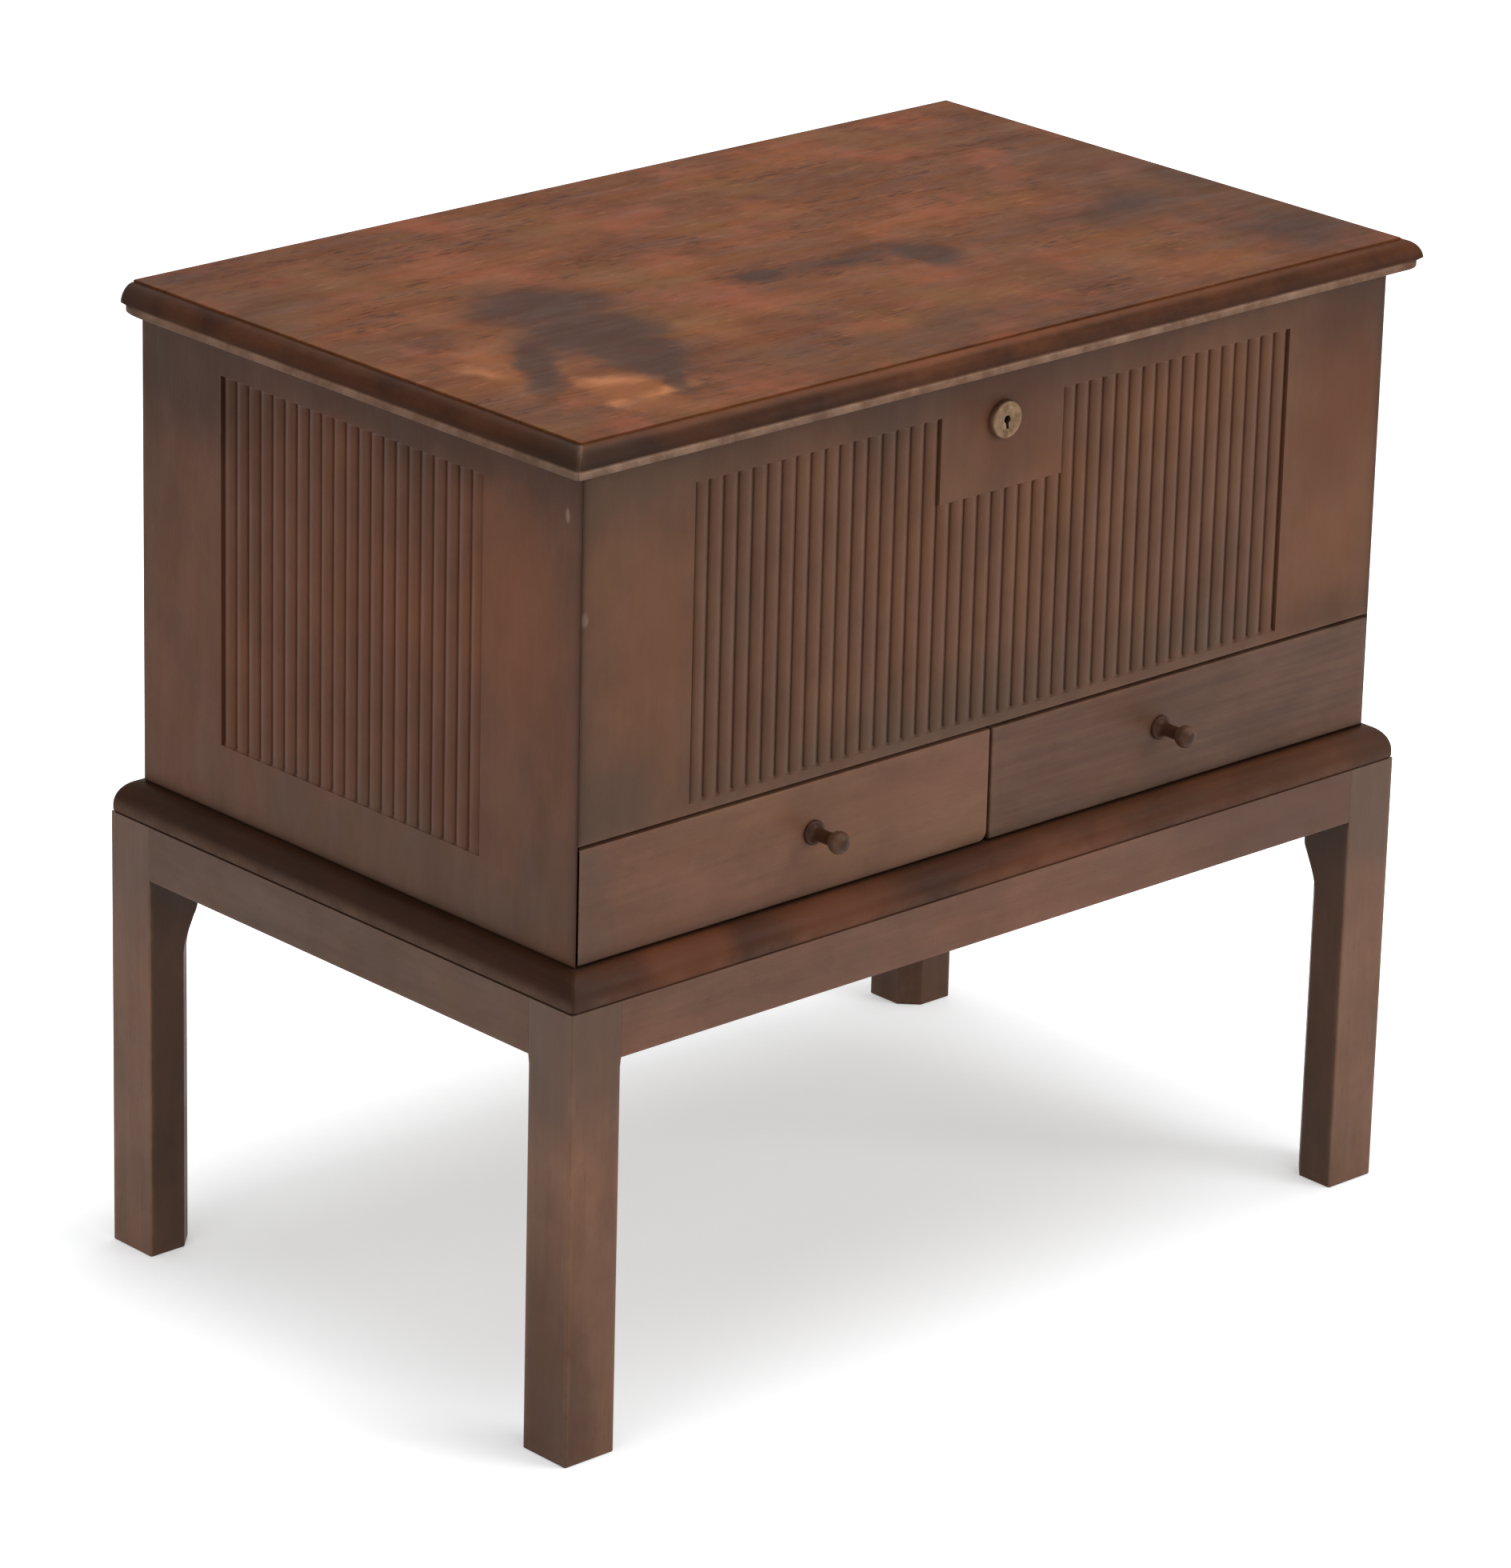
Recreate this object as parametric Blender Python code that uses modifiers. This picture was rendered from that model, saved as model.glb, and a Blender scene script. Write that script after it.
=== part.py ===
"""A small chest on a stand: a lidded chest with reeded panels and two drawers, on a moulded stand.

Metres, +Z up, the front faces -Y. Points are given from the middle of the stand's footprint on the floor.
The empty named chest_on_stand carries them all, so that the world's origin lies under the middle of the
whole object's box.
"""

import math

import bmesh
import bpy
from mathutils import Matrix, Vector

for old_object in list(bpy.data.objects):
    bpy.data.objects.remove(old_object, do_unlink=True)

# Fits and steps
GAP = 0.0003  # between two pieces that meet
CUT_REACH = 0.004  # how far a cutter stands clear of the wood
ROUND_STEPS = 8  # in a quarter turn of a moulding
TURN_STEPS = 32  # round a turned piece
REED_STEPS = 8  # across one reed
SHARP_ANGLE = math.radians(35)

# Stand
STAND_WIDTH = 0.760
STAND_DEPTH = 0.475
STAND_HEIGHT = 0.316  # to the top of the legs and the aprons
LEG_SIDE = 0.042
LEG_CHAMFER = 0.013  # taken off both faces at a leg's inner corner
CHAMFER_HEIGHT = 0.216  # of the full chamfer, above the floor
CHAMFER_RUN_OUT = 0.044
APRON_HEIGHT = 0.039
APRON_THICKNESS = 0.022
TENON_THICKNESS = 0.010
TENON_LENGTH = 0.020
TENON_SHOULDER = 0.006
RAIL_WIDTH = 0.055
RAIL_HEIGHT = 0.0227
RAIL_OVOLO_WIDTH = 0.016
RAIL_FILLET = 0.0035
RAIL_QUIRK_DEPTH = 0.0018

# Chest
CHEST_HEIGHT = 0.3332
BOARD = 0.020  # thickness of the front and the ends
BACK_BOARD = 0.016
BACK_REBATE = 0.010  # in the ends, for the back board
FLOOR_THICKNESS = 0.010
FLOOR_RISE = 0.0065  # of the chest floor above the front board's lower edge
BASE_THICKNESS = 0.010
HOUSING = 0.006  # depth of the grooves that hold the floor and the base
PARTITION = 0.014
BATTEN_WIDTH = 0.020
BATTEN_HEIGHT = 0.015
BATTEN_LENGTH = 0.300
BATTEN_SLACK = 0.001  # between a batten and the stand's rail

# Reeded panels
REED_PITCH = 0.0125
REED_DEPTH = 0.0032
REED_GROOVE = 0.0016
REED_CROWN_DROP = 0.0003  # of a reed's crown below the board's face
FRONT_REED_MARGIN = 0.095  # least plain width beside the front's reeds
FRONT_REED_RISE = 0.0075  # above the front board's lower edge
REED_TOP_MARGIN = 0.0275  # below the chest's upper edge
LOCK_BLOCK_WIDTH = 0.1125
LOCK_BLOCK_DROP = 0.059  # of the plain lock block below the top of the reeds
END_REED_MARGIN_FRONT = 0.096
END_REED_MARGIN_BACK = 0.084  # least plain width behind an end's reeds
END_REED_RISE = 0.0487  # above the chest's lower edge

# Drawers
DRAWER_FRONT_HEIGHT = 0.0785
DRAWER_GAP_BELOW = 0.0012
DRAWER_GAP_ABOVE = 0.0025
DRAWER_GAP_MIDDLE = 0.0025  # between the two fronts
DRAWER_GAP_CORNER = 0.0018  # along X, at the mitred outer end
DRAWER_STOP = 0.0005  # from a front's back to the base board's edge
DRAWER_SLACK = 0.001  # on each side of a drawer's box
DRAWER_BOARD = 0.010
DRAWER_BACK_CLEARANCE = 0.010
DRAWER_BACK_INSET = 0.008  # of a drawer's back from the end of its sides
DRAWER_BACK_DROP = 0.005
DRAWER_BOTTOM = 0.005
DRAWER_BOTTOM_RISE = 0.006
DRAWER_GROOVE = 0.004
TAIL_SPACING = 0.0225  # least height for each dovetail
TAIL_WIDTH = 0.012  # at its root
TAIL_FLARE = 0.0015  # on each flank, at its tip
TAIL_LENGTH = 0.013
WORN_CORNER = 0.007  # radius at the left drawer's lower inner corner

# Knobs
KNOB_INSET = 0.204  # of its middle from the end of the chest
KNOB_HEIGHT = 0.0435  # of the knob's middle above the drawer front's lower edge
KNOB_REACH = 0.031
KNOB_FLANGE_RADIUS = 0.0085
KNOB_FLANGE_THICKNESS = 0.003
KNOB_NECK_RADIUS = 0.0045
KNOB_HEAD_RADIUS = 0.0078
KNOB_HEAD_LENGTH = 0.013
KNOB_TENON_RADIUS = 0.004
KNOB_TENON_LENGTH = 0.012

# Lid
LID_SIDE_OVERHANG = 0.020
LID_FRONT_OVERHANG = 0.0178
LID_THICKNESS = 0.0192
LID_MOULDING_RUN = 0.0132
LID_FILLET = 0.0072
LID_FILLET_INSET = 0.0010
LID_QUIRK = 0.0015  # of the moulding below the panel's top

# Hinges
HINGE_INSET = 0.129  # of its middle from the end of the chest
HINGE_LENGTH = 0.060
LEAF_WIDTH = 0.013  # across the back board's edge
LEAF_THICKNESS = 0.0015
KNUCKLE_RADIUS = 0.003
KNUCKLE_STAND_OFF = 0.0008  # from the chest's back
KNUCKLE_COUNT = 5
PIN_RADIUS = 0.0013

# Lock
LOCK_WIDTH = 0.060
LOCK_THICKNESS = 0.011
LOCK_HEIGHT = 0.046
LINK_PLATE_LENGTH = 0.040
LINK_PLATE_WIDTH = 0.009
LINK_PLATE_THICKNESS = 0.0015
EYE_THICKNESS = 0.003
EYE_WIDTH = 0.007
EYE_DROP = 0.0148
EYE_SLACK = 0.0008
BOLT_LENGTH = 0.0205
BOLT_HEIGHT = 0.006
BOLT_THICKNESS = 0.003
BOLT_SLACK = 0.0004
BOLT_DEPTH = 0.0085  # of its middle below the chest's upper edge
BOLT_TRAVEL = 0.012

# Escutcheon
ESCUTCHEON_RADIUS = 0.013
ESCUTCHEON_REACH = 0.005
ESCUTCHEON_ROUND = 0.0012
ESCUTCHEON_DISH = 0.0010
KEYHOLE_RADIUS = 0.0028
KEYHOLE_SLOT_WIDTH = 0.0024
KEYHOLE_SLOT_DROP = 0.0062
COLLAR_RADIUS = 0.0075
COLLAR_LENGTH = 0.006
KEYHOLE_DEPTH = 0.038  # of its middle below the chest's upper edge

# Heights and faces that follow from those sizes
CHEST_WIDTH = STAND_WIDTH - 2 * RAIL_OVOLO_WIDTH
CHEST_DEPTH = STAND_DEPTH - 2 * RAIL_OVOLO_WIDTH
CHEST_END = CHEST_WIDTH / 2
CHEST_FRONT = -CHEST_DEPTH / 2
CHEST_BACK = CHEST_DEPTH / 2
WELL_END = CHEST_END - BOARD
WELL_FRONT = CHEST_FRONT + BOARD
WELL_BACK = CHEST_BACK - BACK_BOARD
RAIL_BOTTOM = STAND_HEIGHT + GAP
CHEST_BOTTOM = RAIL_BOTTOM + RAIL_HEIGHT + GAP
CHEST_TOP = CHEST_BOTTOM + CHEST_HEIGHT
BASE_TOP = CHEST_BOTTOM + BASE_THICKNESS
DRAWER_FRONT_BOTTOM = CHEST_BOTTOM + DRAWER_GAP_BELOW
DRAWER_FRONT_TOP = DRAWER_FRONT_BOTTOM + DRAWER_FRONT_HEIGHT
FRONT_BOARD_BOTTOM = DRAWER_FRONT_TOP + DRAWER_GAP_ABOVE
FLOOR_BOTTOM = FRONT_BOARD_BOTTOM + FLOOR_RISE
FLOOR_TOP = FLOOR_BOTTOM + FLOOR_THICKNESS
REED_TOP = CHEST_TOP - REED_TOP_MARGIN
LID_UNDERSIDE = CHEST_TOP + GAP
LID_TOP = LID_UNDERSIDE + LID_THICKNESS
LID_END = CHEST_END + LID_SIDE_OVERHANG
LID_FRONT = CHEST_FRONT - LID_FRONT_OVERHANG
HINGE_X = CHEST_END - HINGE_INSET
HINGE_Y = CHEST_BACK + KNUCKLE_STAND_OFF + KNUCKLE_RADIUS
HINGE_Z = (CHEST_TOP + LID_UNDERSIDE) / 2
LOCK_Y = WELL_FRONT - LOCK_THICKNESS / 2
BOLT_Z = CHEST_TOP - BOLT_DEPTH
KEYHOLE_Z = CHEST_TOP - KEYHOLE_DEPTH
KNOB_X = CHEST_END - KNOB_INSET
KNOB_TIP = CHEST_FRONT - KNOB_REACH
MIDDLE_SHIFT = -(KNOB_TIP + STAND_DEPTH / 2) / 2

# Colour, roughness and metallic value of each finish
FINISHES = {
    "polished wood": ((0.120, 0.058, 0.036), 0.38, 0.0),
    "lid wood": ((0.180, 0.068, 0.032), 0.34, 0.0),
    "dark wood": ((0.022, 0.012, 0.008), 0.30, 0.0),
    "lining wood": ((0.310, 0.190, 0.105), 0.60, 0.0),
    "brass": ((0.360, 0.250, 0.120), 0.42, 1.0),
    "steel": ((0.300, 0.290, 0.280), 0.45, 1.0),
}

# How a drawn outline's first, second and third direction lie in the object
PLAN = Matrix.Identity(3)
FRONT_VIEW = Matrix(((1, 0, 0), (0, 0, -1), (0, 1, 0)))
SIDE_VIEW = Matrix(((0, 0, 1), (1, 0, 0), (0, 1, 0)))

parts = bpy.data.collections.new("chest_on_stand")
cutters = bpy.data.collections.new("cutters")
for collection in (parts, cutters):
    bpy.context.scene.collection.children.link(collection)
carriers = {}


# Placing and finishing


def add_carrier(name, point, parent=None):
    """An empty that carries pieces; a joint's empty stands on the joint's axis."""
    carrier = bpy.data.objects.new(name, None)
    carrier.empty_display_size = LEG_SIDE
    parts.objects.link(carrier)
    if parent is None:
        carrier.location = (0, MIDDLE_SHIFT, 0)
    else:
        place(carrier, point, parent)
    carriers[name] = Vector(point)
    return carrier


def place(thing, point, carrier, turn=PLAN):
    """Hangs a thing on its carrier, so that it stands at a point given from the stand's middle."""
    thing.parent = carrier
    thing.location = Vector(point) - carriers[carrier.name]
    thing.rotation_euler = turn.to_euler()


def finish_with(piece, finish):
    """Gives a piece its own material."""
    colour, roughness, metallic = FINISHES[finish]
    material = bpy.data.materials.new(f"{piece.name} {finish}")
    material.use_nodes = True
    shader = material.node_tree.nodes["Principled BSDF"]
    shader.inputs["Base Color"].default_value = (*colour, 1)
    shader.inputs["Roughness"].default_value = roughness
    shader.inputs["Metallic"].default_value = metallic
    material.diffuse_color = (*colour, 1)
    piece.data.materials.append(material)


def add_piece(name, mesh, point, carrier, finish, turn=PLAN):
    piece = bpy.data.objects.new(name, mesh)
    parts.objects.link(piece)
    place(piece, point, carrier, turn)
    finish_with(piece, finish)
    return piece


def add_cutter(name, mesh, point, turn=PLAN):
    """A helper shape for cutting or joining, which isn't a piece of the object."""
    cutter = bpy.data.objects.new(name, mesh)
    cutters.objects.link(cutter)
    cutter.hide_render = True
    cutter.display_type = "WIRE"
    place(cutter, point, whole, turn)
    return cutter


def combine(piece, helper, operation):
    boolean = piece.modifiers.new(helper.name, "BOOLEAN")
    boolean.operation = operation
    boolean.solver = "EXACT"
    boolean.object = helper


def cut(piece, *helpers):
    for helper in helpers:
        combine(piece, helper, "DIFFERENCE")


def join(piece, *helpers):
    for helper in helpers:
        combine(piece, helper, "UNION")


# Shapes


def mesh_from(name, shape):
    mesh = bpy.data.meshes.new(name)
    shape.to_mesh(mesh)
    shape.free()
    return mesh


def smooth_round(mesh):
    mesh.shade_smooth()
    mesh.set_sharp_from_angle(angle=SHARP_ANGLE)


def block_mesh(name, size):
    shape = bmesh.new()
    bmesh.ops.create_cube(shape, size=1)
    bmesh.ops.scale(shape, vec=size, verts=shape.verts)
    return mesh_from(name, shape)


def board(name, low, high, finish, carrier):
    """A plain board between two corners."""
    low, high = Vector(low), Vector(high)
    return add_piece(name, block_mesh(name, high - low), (low + high) / 2, carrier, finish)


def block_cutter(name, low, high, grow=0.0):
    """A block between two corners, larger by the same amount all round."""
    margin = Vector((grow, grow, grow))
    low, high = Vector(low) - margin, Vector(high) + margin
    return add_cutter(name, block_mesh(name, high - low), (low + high) / 2)


def outline_mesh(name, outlines, thickness):
    """Closed flat outlines, filled and given a thickness about their plane."""
    curve = bpy.data.curves.new(name, "CURVE")
    curve.dimensions = "2D"
    curve.fill_mode = "BOTH"
    curve.extrude = thickness / 2
    for outline in outlines:
        spline = curve.splines.new("POLY")
        spline.points.add(len(outline) - 1)
        for point, (across, along) in zip(spline.points, outline):
            point.co = (across, along, 0, 1)
        spline.use_cyclic_u = True
    drawing = bpy.data.objects.new(name, curve)
    bpy.context.scene.collection.objects.link(drawing)
    seen = drawing.evaluated_get(bpy.context.evaluated_depsgraph_get())
    mesh = bpy.data.meshes.new_from_object(seen)
    bpy.data.objects.remove(drawing)
    bpy.data.curves.remove(curve)
    shape = bmesh.new()
    shape.from_mesh(mesh)
    bmesh.ops.remove_doubles(shape, verts=shape.verts, dist=0.000001)
    bmesh.ops.recalc_face_normals(shape, faces=shape.faces)
    shape.to_mesh(mesh)
    shape.free()
    return mesh


def rod_mesh(name, spans, radius):
    """Round rods along X, one for each span of X."""
    shape = bmesh.new()
    for start, end in spans:
        lie_down = Matrix.Translation(((start + end) / 2, 0, 0)) @ Matrix.Rotation(math.pi / 2, 4, "Y")
        bmesh.ops.create_cone(
            shape,
            cap_ends=True,
            segments=TURN_STEPS // 2,
            radius1=radius,
            radius2=radius,
            depth=end - start,
            matrix=lie_down,
        )
    mesh = mesh_from(name, shape)
    smooth_round(mesh)
    return mesh


def bore_cutter(name, radius, point, length):
    """A round cutter along Y, about its middle."""
    shape = bmesh.new()
    bmesh.ops.create_cone(
        shape, cap_ends=True, segments=TURN_STEPS, radius1=radius, radius2=radius, depth=length
    )
    mesh = mesh_from(name, shape)
    smooth_round(mesh)
    return add_cutter(name, mesh, point, FRONT_VIEW)


def turned_piece(name, profile, point, carrier, finish, closed=False):
    """A profile of radius and reach, from its outer tip inwards, turned about an axis along -Y."""
    mesh = bpy.data.meshes.new(name)
    count = len(profile)
    edges = [(index, index + 1) for index in range(count - 1)]
    if closed:
        edges.append((count - 1, 0))
    mesh.from_pydata([(radius, 0, reach) for radius, reach in profile], edges, [])
    piece = add_piece(name, mesh, point, carrier, finish, FRONT_VIEW)
    turning = piece.modifiers.new("Turning", "SCREW")
    turning.axis = "Z"
    turning.steps = TURN_STEPS
    turning.render_steps = TURN_STEPS
    turning.use_merge_vertices = True
    turning.merge_threshold = 0.00001
    turning.use_smooth_shade = True
    return piece


def quarter_round(start, end):
    """A quarter of an ellipse, upright where it starts and level where it ends."""
    points = []
    for step in range(ROUND_STEPS + 1):
        angle = math.pi / 2 * step / ROUND_STEPS
        across = start[0] + (end[0] - start[0]) * (1 - math.cos(angle))
        up = start[1] + (end[1] - start[1]) * math.sin(angle)
        points.append((across, up))
    return points


def moulding(name, profile, length, point, inward, mitred, finish, carrier):
    """A profile of distance inward and height, carried along a straight edge and mitred at its ends.

    The point is the middle of the lower outer edge; mitred says which of the two ends are cut at 45 degrees.
    """
    mesh = outline_mesh(name, [profile], length)
    half_gap = GAP / math.sqrt(2)
    for vertex in mesh.vertices:
        end = int(vertex.co.z > 0)
        if mitred[end]:
            vertex.co.z -= math.copysign(vertex.co.x + half_gap, vertex.co.z)
    smooth_round(mesh)
    inward, up = Vector(inward), Vector((0, 0, 1))
    turn = Matrix((inward, up, inward.cross(up))).transposed()
    return add_piece(name, mesh, point, carrier, finish, turn)


def reed_cutter(name, count, start, low, high, point, turn):
    """Cuts convex reeds side by side: a row of arcs that rise from the groove floor to just below the face.

    The first outline direction runs along the face from start, the second out of the wood.
    """
    half_reed = (REED_PITCH - REED_GROOVE) / 2
    rise = REED_DEPTH - REED_CROWN_DROP
    outline = [(start - REED_GROOVE / 2, CUT_REACH), (start - REED_GROOVE / 2, -REED_DEPTH)]
    for reed in range(count):
        middle = start + REED_PITCH * (reed + 0.5)
        for step in range(REED_STEPS + 1):
            angle = math.pi * step / REED_STEPS
            across = middle - half_reed * math.cos(angle)
            outline.append((across, -REED_DEPTH + rise * math.sin(angle)))
    stop = start + REED_PITCH * count + REED_GROOVE / 2
    outline += [(stop, -REED_DEPTH), (stop, CUT_REACH)]
    mesh = outline_mesh(name, [outline], high - low)
    smooth_round(mesh)
    return add_cutter(name, mesh, (point[0], point[1], (low + high) / 2), turn)


# Stand


def make_legs():
    """Four square legs with a stopped chamfer on the corner that faces the middle of the stand."""
    legs = {}
    depth = LEG_CHAMFER / math.sqrt(2)
    top = CHAMFER_HEIGHT + CHAMFER_RUN_OUT
    profile = [(CUT_REACH, top), (CUT_REACH, -CUT_REACH), (-depth, -CUT_REACH)]
    for step in range(ROUND_STEPS + 1):
        share = step / ROUND_STEPS
        eased = (1 - math.cos(math.pi * share)) / 2
        across = -depth + (depth + LEG_CHAMFER / ROUND_STEPS) * eased
        profile.append((across, CHAMFER_HEIGHT + CHAMFER_RUN_OUT * share))
    for x_side, end_name in ((-1, "left"), (1, "right")):
        for y_side, depth_name in ((-1, "front"), (1, "back")):
            name = f"leg_{depth_name}_{end_name}"
            outer = Vector((x_side * STAND_WIDTH / 2, y_side * STAND_DEPTH / 2, 0))
            inner = outer - Vector((x_side * LEG_SIDE, y_side * LEG_SIDE, 0))
            middle = (outer + inner) / 2
            mesh = block_mesh(name, (LEG_SIDE, LEG_SIDE, STAND_HEIGHT))
            leg = add_piece(
                name, mesh, (middle.x, middle.y, STAND_HEIGHT / 2), whole, "polished wood"
            )
            to_middle = Vector((-x_side, -y_side, 0)).normalized()
            up = Vector((0, 0, 1))
            turn = Matrix((to_middle, up, to_middle.cross(up))).transposed()
            chamfer = outline_mesh(f"{name}_chamfer", [profile], 2 * LEG_SIDE)
            smooth_round(chamfer)
            cut(leg, add_cutter(f"{name}_chamfer", chamfer, inner, turn))
            legs[x_side, y_side] = leg
    return legs


def rail_point(along, across, up, along_y):
    """A point given along a rail, across it and up, for a rail that runs along X or along Y."""
    return Vector((across, along, up)) if along_y else Vector((along, across, up))


def make_aprons(legs):
    """Four aprons flush with the legs, each with a tenon at both ends."""
    low_z = STAND_HEIGHT - APRON_HEIGHT
    for name, side, along_y in (
        ("apron_front", -1, False),
        ("apron_back", 1, False),
        ("apron_left", -1, True),
        ("apron_right", 1, True),
    ):
        length = STAND_DEPTH if along_y else STAND_WIDTH
        spread = STAND_WIDTH if along_y else STAND_DEPTH
        half = length / 2 - LEG_SIDE - GAP
        face = side * spread / 2
        back = side * (spread / 2 - APRON_THICKNESS)
        cheek = (face + back) / 2
        apron = board(
            name,
            rail_point(-half, min(face, back), low_z, along_y),
            rail_point(half, max(face, back), STAND_HEIGHT, along_y),
            "polished wood",
            whole,
        )
        tenon_low_z = low_z + TENON_SHOULDER
        tenon_high_z = STAND_HEIGHT - TENON_SHOULDER
        for end in (-1, 1):
            reach = (end * (half - TENON_SHOULDER), end * (half + TENON_LENGTH))
            low = rail_point(min(reach), cheek - TENON_THICKNESS / 2, tenon_low_z, along_y)
            high = rail_point(max(reach), cheek + TENON_THICKNESS / 2, tenon_high_z, along_y)
            side_name = "end" if end > 0 else "start"
            join(apron, block_cutter(f"{name}_tenon_{side_name}", low, high))
            leg = legs[(side, end) if along_y else (end, side)]
            cut(leg, block_cutter(f"{name}_mortise_{side_name}", low, high, GAP))


def make_rails():
    """Four moulded rails, mitred into a frame on top of the legs and aprons."""
    profile = [(RAIL_QUIRK_DEPTH, 0), (RAIL_QUIRK_DEPTH, RAIL_QUIRK_DEPTH), (0, RAIL_QUIRK_DEPTH)]
    profile += quarter_round((0, RAIL_QUIRK_DEPTH + RAIL_FILLET), (RAIL_OVOLO_WIDTH, RAIL_HEIGHT))
    profile += [(RAIL_WIDTH, RAIL_HEIGHT), (RAIL_WIDTH, 0)]
    for name, inward, length, out in (
        ("stand_rail_front", (0, 1, 0), STAND_WIDTH, STAND_DEPTH / 2),
        ("stand_rail_back", (0, -1, 0), STAND_WIDTH, STAND_DEPTH / 2),
        ("stand_rail_left", (1, 0, 0), STAND_DEPTH, STAND_WIDTH / 2),
        ("stand_rail_right", (-1, 0, 0), STAND_DEPTH, STAND_WIDTH / 2),
    ):
        point = Vector(inward) * -out + Vector((0, 0, RAIL_BOTTOM))
        moulding(name, profile, length, point, inward, (True, True), "polished wood", whole)


# Chest


def make_case():
    """The ends, front and back boards, the floor of the well, the base and what stands between."""
    mitre_gap = GAP * math.sqrt(2)
    middle_z = (CHEST_BOTTOM + CHEST_TOP) / 2
    floor_low = (-WELL_END - HOUSING + GAP, WELL_FRONT - HOUSING + GAP, FLOOR_BOTTOM)
    floor_high = (WELL_END + HOUSING - GAP, WELL_BACK + HOUSING - GAP, FLOOR_TOP)
    board("chest_floor", floor_low, floor_high, "lining wood", whole)
    floor_housing = block_cutter("floor_housing", floor_low, floor_high, GAP)

    base_front = WELL_FRONT + DRAWER_STOP
    base_low = (-WELL_END - HOUSING + GAP, base_front, CHEST_BOTTOM)
    base_high = (WELL_END + HOUSING - GAP, WELL_BACK + HOUSING - GAP, BASE_TOP)
    board("base_board", base_low, base_high, "lining wood", whole)
    base_housing = block_cutter("base_housing", base_low, base_high, GAP)

    end_reeds = math.floor((CHEST_DEPTH - END_REED_MARGIN_FRONT - END_REED_MARGIN_BACK) / REED_PITCH)
    end_reed_start = CHEST_FRONT + END_REED_MARGIN_FRONT
    for side, name in ((-1, "end_left"), (1, "end_right")):
        rebate = WELL_END + BACK_REBATE
        outline = [
            (side * CHEST_END, CHEST_FRONT),
            (side * WELL_END, WELL_FRONT),
            (side * WELL_END, WELL_BACK),
            (side * rebate, WELL_BACK),
            (side * rebate, CHEST_BACK),
            (side * CHEST_END, CHEST_BACK),
        ]
        mesh = outline_mesh(name, [outline], CHEST_HEIGHT)
        end = add_piece(name, mesh, (0, 0, middle_z), whole, "polished wood")
        along, outward = Vector((0, 1, 0)), Vector((side, 0, 0))
        turn = Matrix((along, outward, along.cross(outward))).transposed()
        reeds = reed_cutter(
            f"{name}_reeds",
            end_reeds,
            end_reed_start,
            CHEST_BOTTOM + END_REED_RISE,
            REED_TOP,
            (side * CHEST_END, 0),
            turn,
        )
        cut(end, floor_housing, base_housing, reeds)

    front_outline = [
        (-CHEST_END + mitre_gap, CHEST_FRONT),
        (CHEST_END - mitre_gap, CHEST_FRONT),
        (WELL_END - mitre_gap, WELL_FRONT),
        (-WELL_END + mitre_gap, WELL_FRONT),
    ]
    front_mesh = outline_mesh("front_board", [front_outline], CHEST_TOP - FRONT_BOARD_BOTTOM)
    front_middle = (0, 0, (FRONT_BOARD_BOTTOM + CHEST_TOP) / 2)
    front = add_piece("front_board", front_mesh, front_middle, whole, "polished wood")
    cut(front, floor_housing)
    cut_front_reeds(front)

    back_low = (-WELL_END - BACK_REBATE + GAP, WELL_BACK + GAP, CHEST_BOTTOM)
    back_high = (WELL_END + BACK_REBATE - GAP, CHEST_BACK, CHEST_TOP)
    back = board("back_board", back_low, back_high, "polished wood", whole)
    cut(back, floor_housing, base_housing)

    board(
        "drawer_partition",
        (-PARTITION / 2, base_front, BASE_TOP + GAP),
        (PARTITION / 2, WELL_BACK - GAP, FLOOR_BOTTOM - GAP),
        "lining wood",
        whole,
    )
    opening_end = STAND_WIDTH / 2 - RAIL_WIDTH - BATTEN_SLACK
    for side, name in ((-1, "batten_left"), (1, "batten_right")):
        ends = sorted((side * opening_end, side * (opening_end - BATTEN_WIDTH)))
        top = CHEST_BOTTOM - GAP
        board(
            name,
            (ends[0], -BATTEN_LENGTH / 2, top - BATTEN_HEIGHT),
            (ends[1], BATTEN_LENGTH / 2, top),
            "lining wood",
            whole,
        )
    return front, back


def cut_front_reeds(front):
    """Reeds across the front: short ones under the plain lock block, full ones on both sides of it."""
    block_reeds = round(LOCK_BLOCK_WIDTH / REED_PITCH)
    flank_reeds = math.floor((CHEST_END - FRONT_REED_MARGIN) / REED_PITCH - block_reeds / 2)
    block_start = -block_reeds * REED_PITCH / 2
    low = FRONT_BOARD_BOTTOM + FRONT_REED_RISE
    turn = Matrix(((1, 0, 0), (0, -1, 0), (0, 0, -1)))
    for name, count, start, high in (
        ("reeds_left", flank_reeds, block_start - flank_reeds * REED_PITCH, REED_TOP),
        ("reeds_middle", block_reeds, block_start, REED_TOP - LOCK_BLOCK_DROP),
        ("reeds_right", flank_reeds, -block_start, REED_TOP),
    ):
        cut(front, reed_cutter(name, count, start, low, high, (0, CHEST_FRONT), turn))


# Drawers


def tail_middles(low, high):
    count = max(1, math.floor((high - low) / TAIL_SPACING))
    pitch = (high - low) / count
    return [low + pitch * (tail + 0.5) for tail in range(count)]


def tail_outline(middle, root, start, end, grow):
    """A dovetail seen from the side, between two distances from its root towards -Y."""

    def half_width(distance):
        return TAIL_WIDTH / 2 + TAIL_FLARE * distance / TAIL_LENGTH + grow

    return [
        (root - start, middle + half_width(start)),
        (root - end, middle + half_width(end)),
        (root - end, middle - half_width(end)),
        (root - start, middle - half_width(start)),
    ]


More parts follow.
